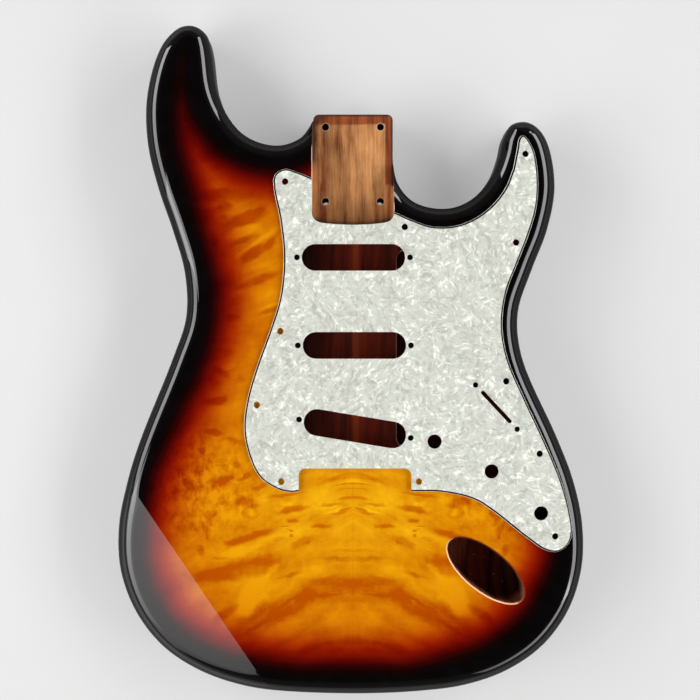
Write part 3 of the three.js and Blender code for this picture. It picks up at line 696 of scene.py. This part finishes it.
def bare_pocket_wood():
    """Unfinished core wood in the neck pocket, with the stain that crept over its edges, dark strips
    where its outer edges are rounded, and painted shade along its foot wall and bass wall.
    """
    f = Finish("bare_pocket_wood")
    x, y, z = f.xyz
    side_wall, open_end, foot_wall = POCKET_WIDE / 2, HEEL_END, POCKET_END
    sway = f.noise((x / 14, y / 60), 1.0) - 0.5
    broad = f.noise(((x + sway * 7) / 5.4, y / 70), 3.0, 0.55)
    mottle = f.noise(((x + sway * 4) / 4.5, y / 11, 6.0), 2.0) - 0.5
    grain = f.noise(((x + sway * 5) / 0.8, y / 34), 3.0, 0.6)
    pores = f.noise((x / 0.3, y / 5), 2.0, 0.6).between(0.58, 0.68)
    pale = f.lens(f.vector(x, y), 8, 124, 26, 74, -6)
    share = pale * 0.42 + (broad - 0.5) * 1.9 + (grain - 0.5) * 0.7 + mottle * 0.6 - pores * 0.2 + 0.34
    wood = f.mixed(share.clipped(), paint(116, 56, 20), paint(224, 160, 98))
    edge = (y + sway * 1.5 - abs(x + 3) / 40).between(open_end - 7.9, open_end - 6.3)
    side = (x + sway * 2.4).between(side_wall - 6.15, side_wall - 4.75)
    side = side * (y + sway * 4).between(foot_wall + 26.2, foot_wall + 28.7)
    stain = f.mixed((broad * 0.6 + grain * 0.4).between(0.35, 0.65), paint(82, 30, 10), paint(166, 82, 28))
    stained = f.mixed(edge.at_least(side), wood, stain)
    # Dark strips where the real edges are rounded: the open end, the treble side, the bass corner
    treble_edge_dark = x.between(side_wall - 2.35, side_wall - 0.55)
    treble_edge_dark = treble_edge_dark * y.between(foot_wall + 24.7, foot_wall + 27.7)
    rounded_edge_dark = y.between(open_end - 2.1, open_end - 0.2).at_least(treble_edge_dark)
    corner = (y - x * 0.9 - (open_end + 11.5)).between(0, 7) * 0.8
    # Painted shade: bands along the foot wall and the bass wall
    foot = (foot_wall + 3.3 + x * x / 260 - y).between(0, 3.5) * 0.65
    bass_wall_shade = (2.75 - side_wall - x + sway * 1.6).between(0, 1.6)
    bass_wall_shade = bass_wall_shade * (y + sway * 6).between(foot_wall + 38.7, foot_wall + 46.7) * 0.75
    dark = rounded_edge_dark.at_least(corner).at_least(foot).at_least(bass_wall_shade)
    colour = f.mixed(dark, stained, paint(52, 20, 16))
    screws_middle = HEEL_END - NECK_SCREW_END_GAP - NECK_SCREWS_LONG / 2
    off_x = abs(abs(x) - NECK_SCREWS_WIDE / 2)
    off_y = abs(abs(y - screws_middle) - NECK_SCREWS_LONG / 2)
    away = (off_x * off_x + off_y * off_y) ** 0.5 - NECK_SCREW_BORE / 2
    halo = (1 - abs(away - 0.45) / 0.45).at_least(0) * z.between(POCKET_FLOOR - 0.3, POCKET_FLOOR)
    colour = f.mixed(halo * 0.5, colour, paint(216, 184, 156))
    return f.surface(base_color=colour, roughness=0.55, specular_ior_level=0.35,
                     normal=f.bump(grain + pores * -0.6, 0.25, 0.0006))


def routed_wood(f, dark, light):
    """Rough routed wood under a thin stain: its colour and the stripes of its grain."""
    x, y, z = f.xyz
    sway = f.noise((x / 20, y / 40, z / 30), 1.0) - 0.5
    stripe = f.noise(((x + sway * 6) / 5.2, y / 70, z / 70), 3.0, 0.6)
    fine = f.noise((x / 0.8, y / 30, z / 30), 2.0, 0.6)
    share = (stripe - 0.3) * 2.2 + (fine - 0.5) * 0.5
    return f.mixed(share.clipped(), dark, light), stripe


def routed_surface(f, colour, stripe):
    return f.surface(base_color=colour, roughness=0.5, specular_ior_level=0.3,
                     normal=f.bump(stripe, 0.3, 0.0008))


def cavity_wood():
    """The cavities under the pickguard: paler along the middle of the body, and darkened by painted
    shade at the ends and towards the bass side."""
    f = Finish("cavity_wood")
    x, off_middle = f.xyz[0], abs(f.xyz[0] - 2)
    wood, stripe = routed_wood(f, paint(60, 15, 7), paint(146, 44, 15))
    middle = (1 - off_middle / 3.6).at_least(0).between(0, 0.7)
    wood = f.mixed(middle * 0.5, wood, paint(186, 82, 30))
    # Painted shade: near black at the ends of the cavities and towards the bass side
    ends = off_middle.between(31, 36) * (1 - off_middle.between(46, 50))
    shadow = (1 - x.between(-34, -2)) * 0.72
    return routed_surface(f, f.mixed(shadow.at_least(ends * 0.94), wood, paint(8, 3, 2)), stripe)


def jack_wood():
    """The jack cavity: darkened towards the treble side by painted shade, with tiny near-white specks."""
    f = Finish("jack_wood")
    wood, stripe = routed_wood(f, paint(58, 32, 24), paint(190, 104, 70))
    # Painted shade: the wood darkens towards the treble side
    wood = f.mixed((f.xyz[0] - JACK_PLACE[0]).between(-8, 12) * 0.4, wood, paint(34, 16, 12))
    speck = (0.09 - f.cells(f.place, 0.2)).between(0, 0.03)
    return routed_surface(f, f.mixed(speck, wood, paint(250, 240, 230)), stripe)


def glued_wood():
    """Plain wood of the joints, channel and closed chambers."""
    f = Finish("glued_wood")
    x, y, z = f.xyz
    grain = f.noise((x / 1.4, y / 40, z / 20), 3.0, 0.6)
    colour = f.mixed(grain, paint(60, 14, 8), paint(120, 46, 22))
    return f.surface(base_color=colour, roughness=0.7, normal=f.bump(grain, 0.2, 0.0005))


def sanded_rim():
    """The thin sanded arris of the jack cavity, where the burst colour thins to bare wood, pale as a
    painted highlight towards the bass side and the tail and dark as painted shade the other way.
    """
    f = Finish("sanded_rim")
    x, y, z = f.xyz
    edge_noise = f.noise((x / 5, y / 5), 2.0) - 0.5
    # Painted highlight and shade: pale towards the bass side and the tail, dark the other way
    lower = (edge_noise * 0.8 - (x - JACK_PLACE[0]) / 30 - (y - JACK_PLACE[1]) / 28).between(-0.25, 0.5)
    colour = f.mixed(lower, paint(104, 42, 12), paint(255, 196, 152))
    return f.surface(base_color=colour, roughness=0.5, specular_ior_level=0.1,
                     normal=f.bump(edge_noise, 0.2, 0.0006))


def pocket_arris():
    """The upper edge of the neck pocket: dark lacquer, with a pale painted highlight along its middle."""
    f = Finish("pocket_arris")
    x, y, z = f.xyz
    edge_noise = f.noise((x / 3, y / 5), 2.0) - 0.5
    # Painted highlight: a pale band along the middle of the arris
    pale = (y + edge_noise * 4).between(POCKET_END + 4.7, POCKET_END + 10.7)
    pale = pale * (HEEL_END - 17.5 - y + edge_noise * 4).between(0, 4)
    colour = f.mixed(pale, paint(40, 14, 10), paint(214, 196, 188))
    return f.surface(base_color=colour, roughness=0.4, coat_weight=0.5, coat_roughness=0.2)


def channel_arris():
    """A pale painted highlight along the arris where the wire channel drops below the cavity floors."""
    f = Finish("channel_arris")
    x, y, z = f.xyz
    edge_noise = f.noise((x / 3, y / 6), 2.0)
    # Painted highlight: pale pinks along the whole arris
    colour = f.mixed(edge_noise, paint(214, 150, 140), paint(250, 226, 220))
    return f.surface(base_color=colour, roughness=0.4, specular_ior_level=0.4)


def turned_patches(f, x, y, wide):
    """Coordinates that lie another way in each patch of the sheet, with a third for the patch."""
    spot = f.vector(x, y)
    tone = f.parts(f.cells(spot, 1 / wide, "Color", "2D"))
    across, along, _ = f.parts(f.add("ShaderNodeVectorRotate", {"rotation_type": "Z_AXIS"},
                                     {"Vector": spot, "Angle": tone[0] * 6.28}))
    return across, along, tone[1] * 40


# Flakes of the pearl, in layers. Streaks: patch, width, length, and how bright and how dull.
# Petals: width, length, and how bright and how dull
STREAKS = [(9.0, 1.2, 5.6, 0.46, 0.3), (14.0, 2.1, 9.5, 0.46, 0.34), (22.0, 3.8, 13.0, 0.32, 0.26)]
PETALS = [(2.5, 4.2, 0.42, 0.2), (3.8, 6.4, 0.42, 0.24)]
PETAL_PATCH = 10.0


def pearl_sheet():
    """Pearl plastic: thin curved flakes of white that lie every way in a greyer clear sheet."""
    f = Finish("pearl_sheet")
    x, y, z = f.xyz
    bend = f.noise((x / 5, y / 5), 2.0) - 0.5
    twist = f.noise((x / 5 + 9, y / 5 + 4), 2.0) - 0.5
    flakes, shades = 0.0, 0.0
    for number, (patch, wide, long, bright, dull) in enumerate(STREAKS):
        across, along, layer = turned_patches(
            f, x + bend * 3.6 + number * 31, y + twist * 3.6 + number * 17, patch)
        streak = f.noise((across / wide, along / long, layer), 1.5)
        flakes = flakes + streak.between(0.575, 0.68) * bright
        shades = shades + (0.42 - streak).between(0.0, 0.1) * dull
    for number, (wide, long, bright, dull) in enumerate(PETALS):
        across, along, layer = turned_patches(
            f, x + bend * 4 + number * 57, y + twist * 4 + number * 23, PETAL_PATCH)
        field = f.vector(across / wide, along / long, layer)
        kind = f.parts(f.cells(field, out="Color"))
        petal = (0.62 - f.cells(field)).between(0, 0.3)
        flakes = flakes + petal * kind[0].between(0.6, 0.95) * bright
        shades = shades + petal * kind[1].between(0.66, 0.95) * dull
    cloud = f.noise((x / 11, y / 11), 2.0) - 0.5
    calm = f.noise((x / 7 + 5, y / 7, 3.0), 1.0).between(0.36, 0.56) * 0.55 + 0.45
    value = (flakes - shades) * calm + cloud * 0.6 + 0.37
    colour = f.ramp(value.clipped(), [
        (0.0, paint(178, 180, 171)), (0.4, paint(203, 205, 195)), (0.66, paint(213, 215, 205)),
        (1.0, paint(241, 242, 234))])
    return f.surface(base_color=colour, roughness=0.4, coat_weight=0.25, coat_roughness=0.05,
                     specular_ior_level=0.05, normal=f.bump(flakes, 0.08, 0.0004))


def sheet_plastic(name, dark, light, rough, shine=0.5):
    """Plain sheet plastic with the fine drag marks of the router on its edges."""
    f = Finish(name)
    x, y, z = f.xyz
    mottle = f.noise((x / 3, y / 3, z / 0.2), 3.0)
    drag = f.noise((x / 0.4, y / 0.4, z / 0.08), 2.0)
    return f.surface(base_color=f.mixed(mottle, dark, light), roughness=rough + (mottle - 0.5) * 0.1,
                     specular_ior_level=shine, normal=f.bump(drag, 0.12, 0.0002))


MAPLE = sunburst_maple()
CORE = sunburst_core()
BARE = bare_pocket_wood()
CAVITY = cavity_wood()
JACK_WOOD = jack_wood()
GLUED = glued_wood()
RIM = sanded_rim()
POCKET_EDGE = pocket_arris()
CHANNEL_EDGE = channel_arris()
PEARL = pearl_sheet()
WHITE = sheet_plastic("white_sheet", paint(222, 222, 214), paint(240, 240, 235), 0.4)
BLACK = sheet_plastic("black_sheet", paint(5, 5, 6), paint(12, 12, 12), 0.5, 0.03)


# The wooden block


def rounding_reach(points):
    """How far in the edge's rounding may reach at each point before it meets itself."""
    into = inward(points)
    reach = np.full(len(points), EDGE_ROUND)
    touching, shrink, most_rounds, held_back = 0.9995, 0.985, 400, 0.95
    for _ in range(most_rounds):
        tips = points + into * reach[:, None]
        gaps = np.linalg.norm(tips[:, None] - points[None], axis=2).min(1)
        crowded = gaps < touching * reach
        if not crowded.any():
            break
        reach[crowded] *= shrink
    lowest = np.min([np.roll(reach, k) for k in (-1, 0, 1)], axis=0)
    spread = range(-3, 4)
    weights = np.exp([-k * k / 4 for k in spread])
    smooth = sum(w * np.roll(lowest, k) for w, k in zip(weights / weights.sum(), spread))
    return np.where(smooth < 0.999 * EDGE_ROUND, held_back * smooth, smooth)


def edge_ring(into, reach, angle):
    """One ring of the body's rounded edge, and how deep below the face it lies. The angle, in
    radians, runs from 0 at the face to a right angle at the wall."""
    ring = OUTLINE + into * (reach * (1 - np.sin(angle)))[:, None]
    return ring, np.broadcast_to(EDGE_ROUND * (1 - np.cos(angle)), len(ring))


def rounded_block():
    """The whole block, with two close rings on the rounding either side of the glue line."""
    into, reach = inward(OUTLINE), rounding_reach(OUTLINE)
    on_slope = past_crease(OUTLINE) > 0
    seam = np.where(on_slope, TOP_THICK / math.cos(SLOPE_TILT), TOP_THICK)
    by_seam = [np.arccos(1 - (seam + off) / EDGE_ROUND) for off in (-SEAM_BAND, SEAM_BAND)]
    flat = OUTLINE + into * (reach + FACE_INSET)[:, None]
    back, front = [level(flat, 0)], [level(flat, THICK)]
    for angle in np.radians(range(0, 91, 9)):
        ring, deep = edge_ring(into, reach, angle)
        back.append(np.column_stack([ring, deep]))
    above, below = range(0, 33, 8), (*range(49, 82, 8), 90)
    for angle in [*np.radians(above), *by_seam, *np.radians(below)]:
        ring, deep = edge_ring(into, reach, angle)
        front.append(np.column_stack([ring, THICK - deep]))
    return raised("block", back + front[::-1], CORE)


def grid_cuts(low, high):
    """Cuts the faces that are selected along a square grid, so that they can bend."""
    bpy.ops.mesh.hide(unselected=True)
    for axis, across in enumerate(np.eye(3)[:2]):
        for at in np.arange(low[axis], high[axis], GRID_PITCH):
            bpy.ops.mesh.select_all(action="SELECT")
            sliced(across * at, across)
    bpy.ops.mesh.reveal(select=False)


def shape_faces(block):
    """Sinks the forearm slope into the front and the belly scoop into the back."""
    take(block)
    bpy.ops.object.mode_set(mode="EDIT")
    pick_faces(block, lambda centre, normal: centre.z > THICK - EDGE_ROUND)
    sliced((*CREASE_START, 0), (*CREASE_OUT, 0))
    bpy.ops.mesh.mark_sharp()
    mesh = bmesh.from_edit_mesh(block.data)
    for edge in mesh.edges:
        if edge.select and min(v.co.z for v in edge.verts) < (THICK - CREASE_SHARP_DEPTH) * MM:
            edge.smooth = True
    near = 0.01
    pick_faces(block, lambda centre, normal:
               abs(normal.z) > 0.999 and not near <= centre.z <= THICK - near)
    grid_cuts(OUTLINE.min(0) + GRID_START, OUTLINE.max(0))
    bpy.ops.object.mode_set(mode="OBJECT")
    spots = vertex_places(block)
    front_share = np.clip((spots[:, 2] - EDGE_ROUND) / (THICK - 2 * EDGE_ROUND), 0, 1)
    by_rim = 1 - np.clip(rim_distance(spots[:, :2]) / CREASE_SOFTER_REACH, 0, 1)
    slope = front_drop(spots[:, :2], CREASE_SOFT + CREASE_SOFTER * by_rim)
    spots[:, 2] += back_rise(spots[:, :2]) * (1 - front_share) - slope * front_share
    block.data.vertices.foreach_set("co", (spots * MM).ravel())
    block.data.update()
    return block


def neck_screw_places():
    upper = HEEL_END - NECK_SCREW_END_GAP
    return [(x, y) for x in (-NECK_SCREWS_WIDE / 2, NECK_SCREWS_WIDE / 2)
            for y in (upper, upper - NECK_SCREWS_LONG)]


def jack_wire_bore():
    """A round cutter from the jack cavity to the control cavity."""
    start, end = np.array(JACK_PLACE), np.array(JACK_BORE_AIM)
    along = (end - start) / np.linalg.norm(end - start)
    across = np.array([-along[1], along[0]])
    circle = hole((0, JACK_BORE_RISE), JACK_BORE, 24)
    rings = [np.column_stack([at + np.outer(circle[:, 0], across), circle[:, 1]]) for at in (start, end)]
    return raised("jack_bore", rings, CAVITY)


def routed(block):
    pocket = neck_end(POCKET_WIDE / 2, HEEL_END + OVERRUN)
    cut(block, flared("pocket", pocket, POCKET_FLOOR, THICK, POCKET_ARRIS, BARE, POCKET_EDGE))
    for spot in neck_screw_places():
        cut(block, straight("neck_hole", hole(spot, NECK_SCREW_BORE), -OVERRUN, THICK, GLUED))
    for name, (x, y, turn) in PICKUP_PLACES.items():
        points = round_rectangle((x, y), CAVITY_LONG, CAVITY_WIDE, CAVITY_CORNER, turn)
        cut(block, straight(name, points, THICK - CAVITY_DEEP, THICK + OVERRUN, CAVITY))
    control = smooth_run(places(CONTROL_SHARES), closed=True)
    cut(block, straight("control", control, THICK - CONTROL_DEEP, THICK + OVERRUN, CAVITY))
    jack = oval(JACK_PLACE, JACK_LONG, JACK_WIDE, JACK_TURN)
    cut(block, flared("jack", jack, THICK - JACK_DEEP, THICK, JACK_ARRIS, JACK_WOOD, RIM))
    return cut(block, jack_wire_bore())


def wide_cutter(name, west, east, low, high):
    corners = [(west, -FAR), (east, -FAR), (east, FAR), (west, FAR)]
    return straight(name, corners, low, high, GLUED)


def under_seam():
    """Everything below the glue line between the core and the top."""
    below = wide_cutter("below", -FAR, FAR, -OVERRUN, THICK - TOP_THICK)
    take(below)
    bpy.ops.object.mode_set(mode="EDIT")
    bpy.ops.mesh.select_all(action="SELECT")
    sine, cosine = math.sin(SLOPE_TILT), math.cos(SLOPE_TILT)
    sliced((*CREASE_START, THICK - TOP_THICK / cosine), (*(CREASE_OUT * sine), cosine),
           use_fill=True, clear_outer=True)
    turn_faces_out()
    return below


def hollows():
    """The wire channel, which stays open to the cavities, and the closed chambers."""
    channel = round_rectangle((CHANNEL_X + CHANNEL_WIDE / 2, (CHANNEL_LOW + CHANNEL_HIGH) / 2),
                              CHANNEL_WIDE, CHANNEL_HIGH - CHANNEL_LOW, CHANNEL_CORNER)
    yield flared("channel", channel, THICK - CHANNEL_DEEP, THICK - CAVITY_DEEP, CHANNEL_ARRIS,
                 CAVITY, CHANNEL_EDGE)
    for name, shares in CHAMBER_SHARES.items():
        floor = BELLY_CHAMBER_FLOOR if name == "bass_upper" else CHAMBER_FLOOR
        chamber = smooth_run(places(shares), 4, closed=True)
        yield straight(name, chamber, floor, THICK + OVERRUN, GLUED)


def shade_by_rim(piece):
    """Writes how far each vertex lies from the body's outline, in millimetres."""
    layer = piece.data.attributes.new("rim", "FLOAT", "POINT")
    layer.data.foreach_set("value", rim_distance(vertex_places(piece)[:, :2]))


def swap_finish(piece, old, new):
    for number, finish in enumerate(piece.data.materials):
        if finish == old:
            piece.data.materials[number] = new


def finish_piece(piece, body, node, slot_name):
    """Smooths all but the crisp edges, hangs the piece on its body and hides the part it stands in for."""
    take(piece)
    bpy.ops.object.shade_smooth_by_angle(angle=CRISP_ANGLE, keep_sharp_edges=True)
    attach(piece, body)
    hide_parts(node)
    return piece


def make_wood():
    block = routed(shape_faces(rounded_block()))
    below = under_seam()
    core = cut(copied(block, "core"), copied(below, "keep_below"), "INTERSECT")
    top = cut(copied(block, "top"), below)
    bpy.data.objects.remove(block, do_unlink=True)
    for hollow in hollows():
        cut(core, hollow)
    swap_finish(top, CORE, MAPLE)
    for whole, name, slot_name in ((core, "core_{}_board", "core_wood"),
                                   (top, "top_{}_leaf", "top_wood")):
        for side, west, east in (("bass", -FAR, 0), ("treble", 0, FAR)):
            node = name.format(side)
            half = wide_cutter(side, west, east, -OVERRUN, THICK + OVERRUN)
            piece = cut(copied(whole, node + "_wood"), half, "INTERSECT")
            shade_by_rim(piece)
            finish_piece(piece, "body", node, slot_name)
        bpy.data.objects.remove(whole, do_unlink=True)


# The pickguard


def quadratic(start, bend, end, steps=10):
    t = np.linspace(0, 1, steps + 1)[1:, None]
    start, bend, end = (np.array(p, float) for p in (start, bend, end))
    return start * (1 - t) ** 2 + bend * 2 * t * (1 - t) + end * t ** 2


def neck_end(half, far):
    """The outline of the neck's end, with its slightly bulging foot."""
    corner, end, bulge = POCKET_CORNER, POCKET_END, NECK_CUT_BULGE
    left, right = (corner - half, end - bulge / 2), (half - corner, end - bulge / 2)
    return np.vstack([
        [(-half, far)], [(-half, end + corner)],
        quadratic((-half, end + corner), (-half, end), left),
        quadratic(left, (0, end - 2 * bulge), right),
        quadratic(right, (half, end), (half, end + corner)),
        [(half, far)],
    ])


def sunk_hole(spot):
    """A cutter for a screw hole whose mouth opens into a small countersink."""
    inner = hole(spot, GUARD_SCREW_BORE)
    outer = hole(spot, GUARD_SCREW_BORE + 2 * GUARD_SCREW_SINK)
    return raised("screw_hole", [level(inner, GUARD_LOW), level(inner, GUARD_TOP - GUARD_SCREW_SINK),
                                 level(outer, GUARD_TOP), level(outer, GUARD_HIGH)])


def guard_cutter():
    """All that is cut through the pickguard, as one cutter."""
    x, y = BRIDGE_CUT_EDGE
    outlines = [
        neck_end(POCKET_WIDE / 2 + NECK_CUT_GAP, HEEL_END),
        round_rectangle((x, y - BRIDGE_CUT_LONG / 2), BRIDGE_CUT_WIDE, BRIDGE_CUT_LONG,
                        BRIDGE_CUT_CORNER),
        slot(SWITCH_PLACE, SWITCH_SLOT_LONG, SWITCH_SLOT_WIDE, SWITCH_TURN, 8),
    ]
    for x, y, turn in PICKUP_PLACES.values():
        outlines.append(slot((x, y), SLOT_LONG, SLOT_WIDE, turn))
        outlines += [hole(spot, PICKUP_SCREW_BORE) for spot in pair_along((x, y), PICKUP_SCREWS, turn)]
    outlines += [hole(spot, POT_BORE, 48) for spot in places(POT_SHARES)]
    outlines += [hole(spot, SWITCH_SCREW_BORE)
                 for spot in pair_along(SWITCH_PLACE, SWITCH_SCREWS, SWITCH_TURN)]
    parts = [straight("guard_cut", points, GUARD_LOW, GUARD_HIGH) for points in outlines]
    return join_all("guard_cutter", parts + [sunk_hole(spot) for spot in places(GUARD_SCREW_SHARES)])


def make_guard():
    cutter = guard_cutter()
    into = inward(GUARD_OUTLINE)
    looks = {"base": (WHITE, "white"), "black": (BLACK, "black"), "white": (WHITE, "white"),
             "pearl": (PEARL, "pearl")}
    low = THICK
    for (name, thick), foot, head in zip(PLIES.items(), GUARD_OUTSETS, GUARD_OUTSETS[1:]):
        finish, plastic = looks[name]
        rings = [level(GUARD_OUTLINE - into * foot, low),
                 level(GUARD_OUTLINE - into * head, low + thick)]
        ply = cut(raised(f"pickguard_{name}_sheet", rings, finish), cutter, keep=True)
        finish_piece(ply, "pickguard", f"pickguard_{name}_ply", plastic + "_plastic")
        low += thick
    bpy.data.objects.remove(cutter, do_unlink=True)


# Stage and light
FLOOR_WIDE, FLOOR_DROP, FLOOR_FADE_START, FLOOR_FADE_END = 6.0, 0.0003, 0.25, 0.7
AIR = (0.74, 0.74, 0.74)
CEILING = [(0.0, 0.5), (0.1, 0.5), (0.25, 0.12), (0.7, 0.08), (0.87, 0.012)]
MIDDLE, ON_SLOPE = (0, 0, 0.03), (-0.11, -0.16, 0.04)
# Lamps, in metres: centre, where it aims, width, length, glow, and how many times as much it
# glows at the far end of the width
LAMPS = {
    "left_strip": ((-1.41, 0.03, 0.76), (0, 0.1, 0.03), 2.52, 0.6, 9.6, 0.08),
    "right_strip": ((1.35, 0.33, 0.85), (0, 0.33, 0.03), 2.36, 0.58, 5.6, 1.45),
    "corner_strip": ((1.08, -1.22, 0.99), MIDDLE, 1.35, 0.48, 1.9, 3.4),
    "slope_panel": ((-1.22, -0.7, 0.9), ON_SLOPE, 1.47, 1.25, 4.5, 0.21),
    "below": ((0, 0, -1.2), MIDDLE, 1.6, 1.6, 1.2, 1.0),
}


def softbox(name, centre, aim, wide, long, glow, fade):
    """A rectangular lamp whose face shines with the given glow, where 1 is white, and with fade
    times as much at the far end of its width."""
    lamp = bpy.data.lights.new(name, "AREA")
    lamp.shape, lamp.size, lamp.size_y = "RECTANGLE", wide, long
    lamp.energy = glow * math.pi * wide * long
    holder = bpy.data.objects.new(name, lamp)
    bpy.context.scene.collection.objects.link(holder)
    holder.location = centre
    holder.rotation_euler = (Vector(aim) - Vector(centre)).to_track_quat("-Z", "Y").to_euler()
    nodes = Nodes(lamp)
    across = nodes.parts(nodes.add("ShaderNodeNewGeometry", out="Parametric"))[0]
    shine = nodes.add("ShaderNodeEmission", None, {"Strength": across * (fade - 1) + 1})
    nodes.add("ShaderNodeOutputLight", None, {0: shine})


def stage():
    """A pale floor that keeps the shadow and turns into the colour of the air further out."""
    let_go()
    bpy.ops.mesh.primitive_plane_add(size=FLOOR_WIDE)
    floor = bpy.context.object
    floor.name = "floor"
    for vertex in floor.data.vertices:
        vertex.co.z = -FLOOR_DROP
    f = Finish("pale_floor")
    x, y, z = f.xyz
    dust = f.noise((x / 50, y / 50, z / 50), 2.0)
    tone = f.mixed(dust, paint(222, 222, 222), paint(226, 226, 226))
    shaded = f.add("ShaderNodeBsdfDiffuse", None, {"Color": tone})
    even = f.add("ShaderNodeEmission", None, {"Color": AIR})
    away = (x * x + y * y) ** 0.5 * MM
    far = away.between(FLOOR_FADE_START, FLOOR_FADE_END) * 0.55 + 0.45
    seen = f.add("ShaderNodeLightPath", out="Is Camera Ray")
    plain = f.add("ShaderNodeMixShader", None, {0: seen * far, 1: shaded, 2: even})
    clear = f.add("ShaderNodeBsdfTransparent")
    under = f.add("ShaderNodeNewGeometry", out="Backfacing")
    shadow = f.add("ShaderNodeLightPath", out="Is Shadow Ray")
    both = f.add("ShaderNodeMixShader", None, {0: under.at_least(shadow), 1: plain, 2: clear})
    floor.data.materials.append(f.end(both))


def room():
    """The air round the stage: a dark ceiling, a pale band near the floor, pale to the camera."""
    world = bpy.data.worlds.new("room")
    bpy.context.scene.world = world
    nodes = Nodes(world)
    height = nodes.parts(nodes.add("ShaderNodeTexCoord", out="Generated"))[2]
    tone = nodes.ramp(height, [(at, (grey, grey, grey)) for at, grey in CEILING])
    glow = nodes.add("ShaderNodeBackground", None, {0: tone})
    clear = nodes.add("ShaderNodeBackground", None, {0: AIR})
    seen = nodes.add("ShaderNodeLightPath", out="Is Camera Ray")
    both = nodes.add("ShaderNodeMixShader", None, {0: seen, 1: glow, 2: clear})
    nodes.add("ShaderNodeOutputWorld", None, {0: both})


make_wood()
make_guard()
stage()
room()
for name, lamp in LAMPS.items():
    softbox(name, *lamp)

scene = bpy.context.scene
scene.view_settings.view_transform = "Standard"
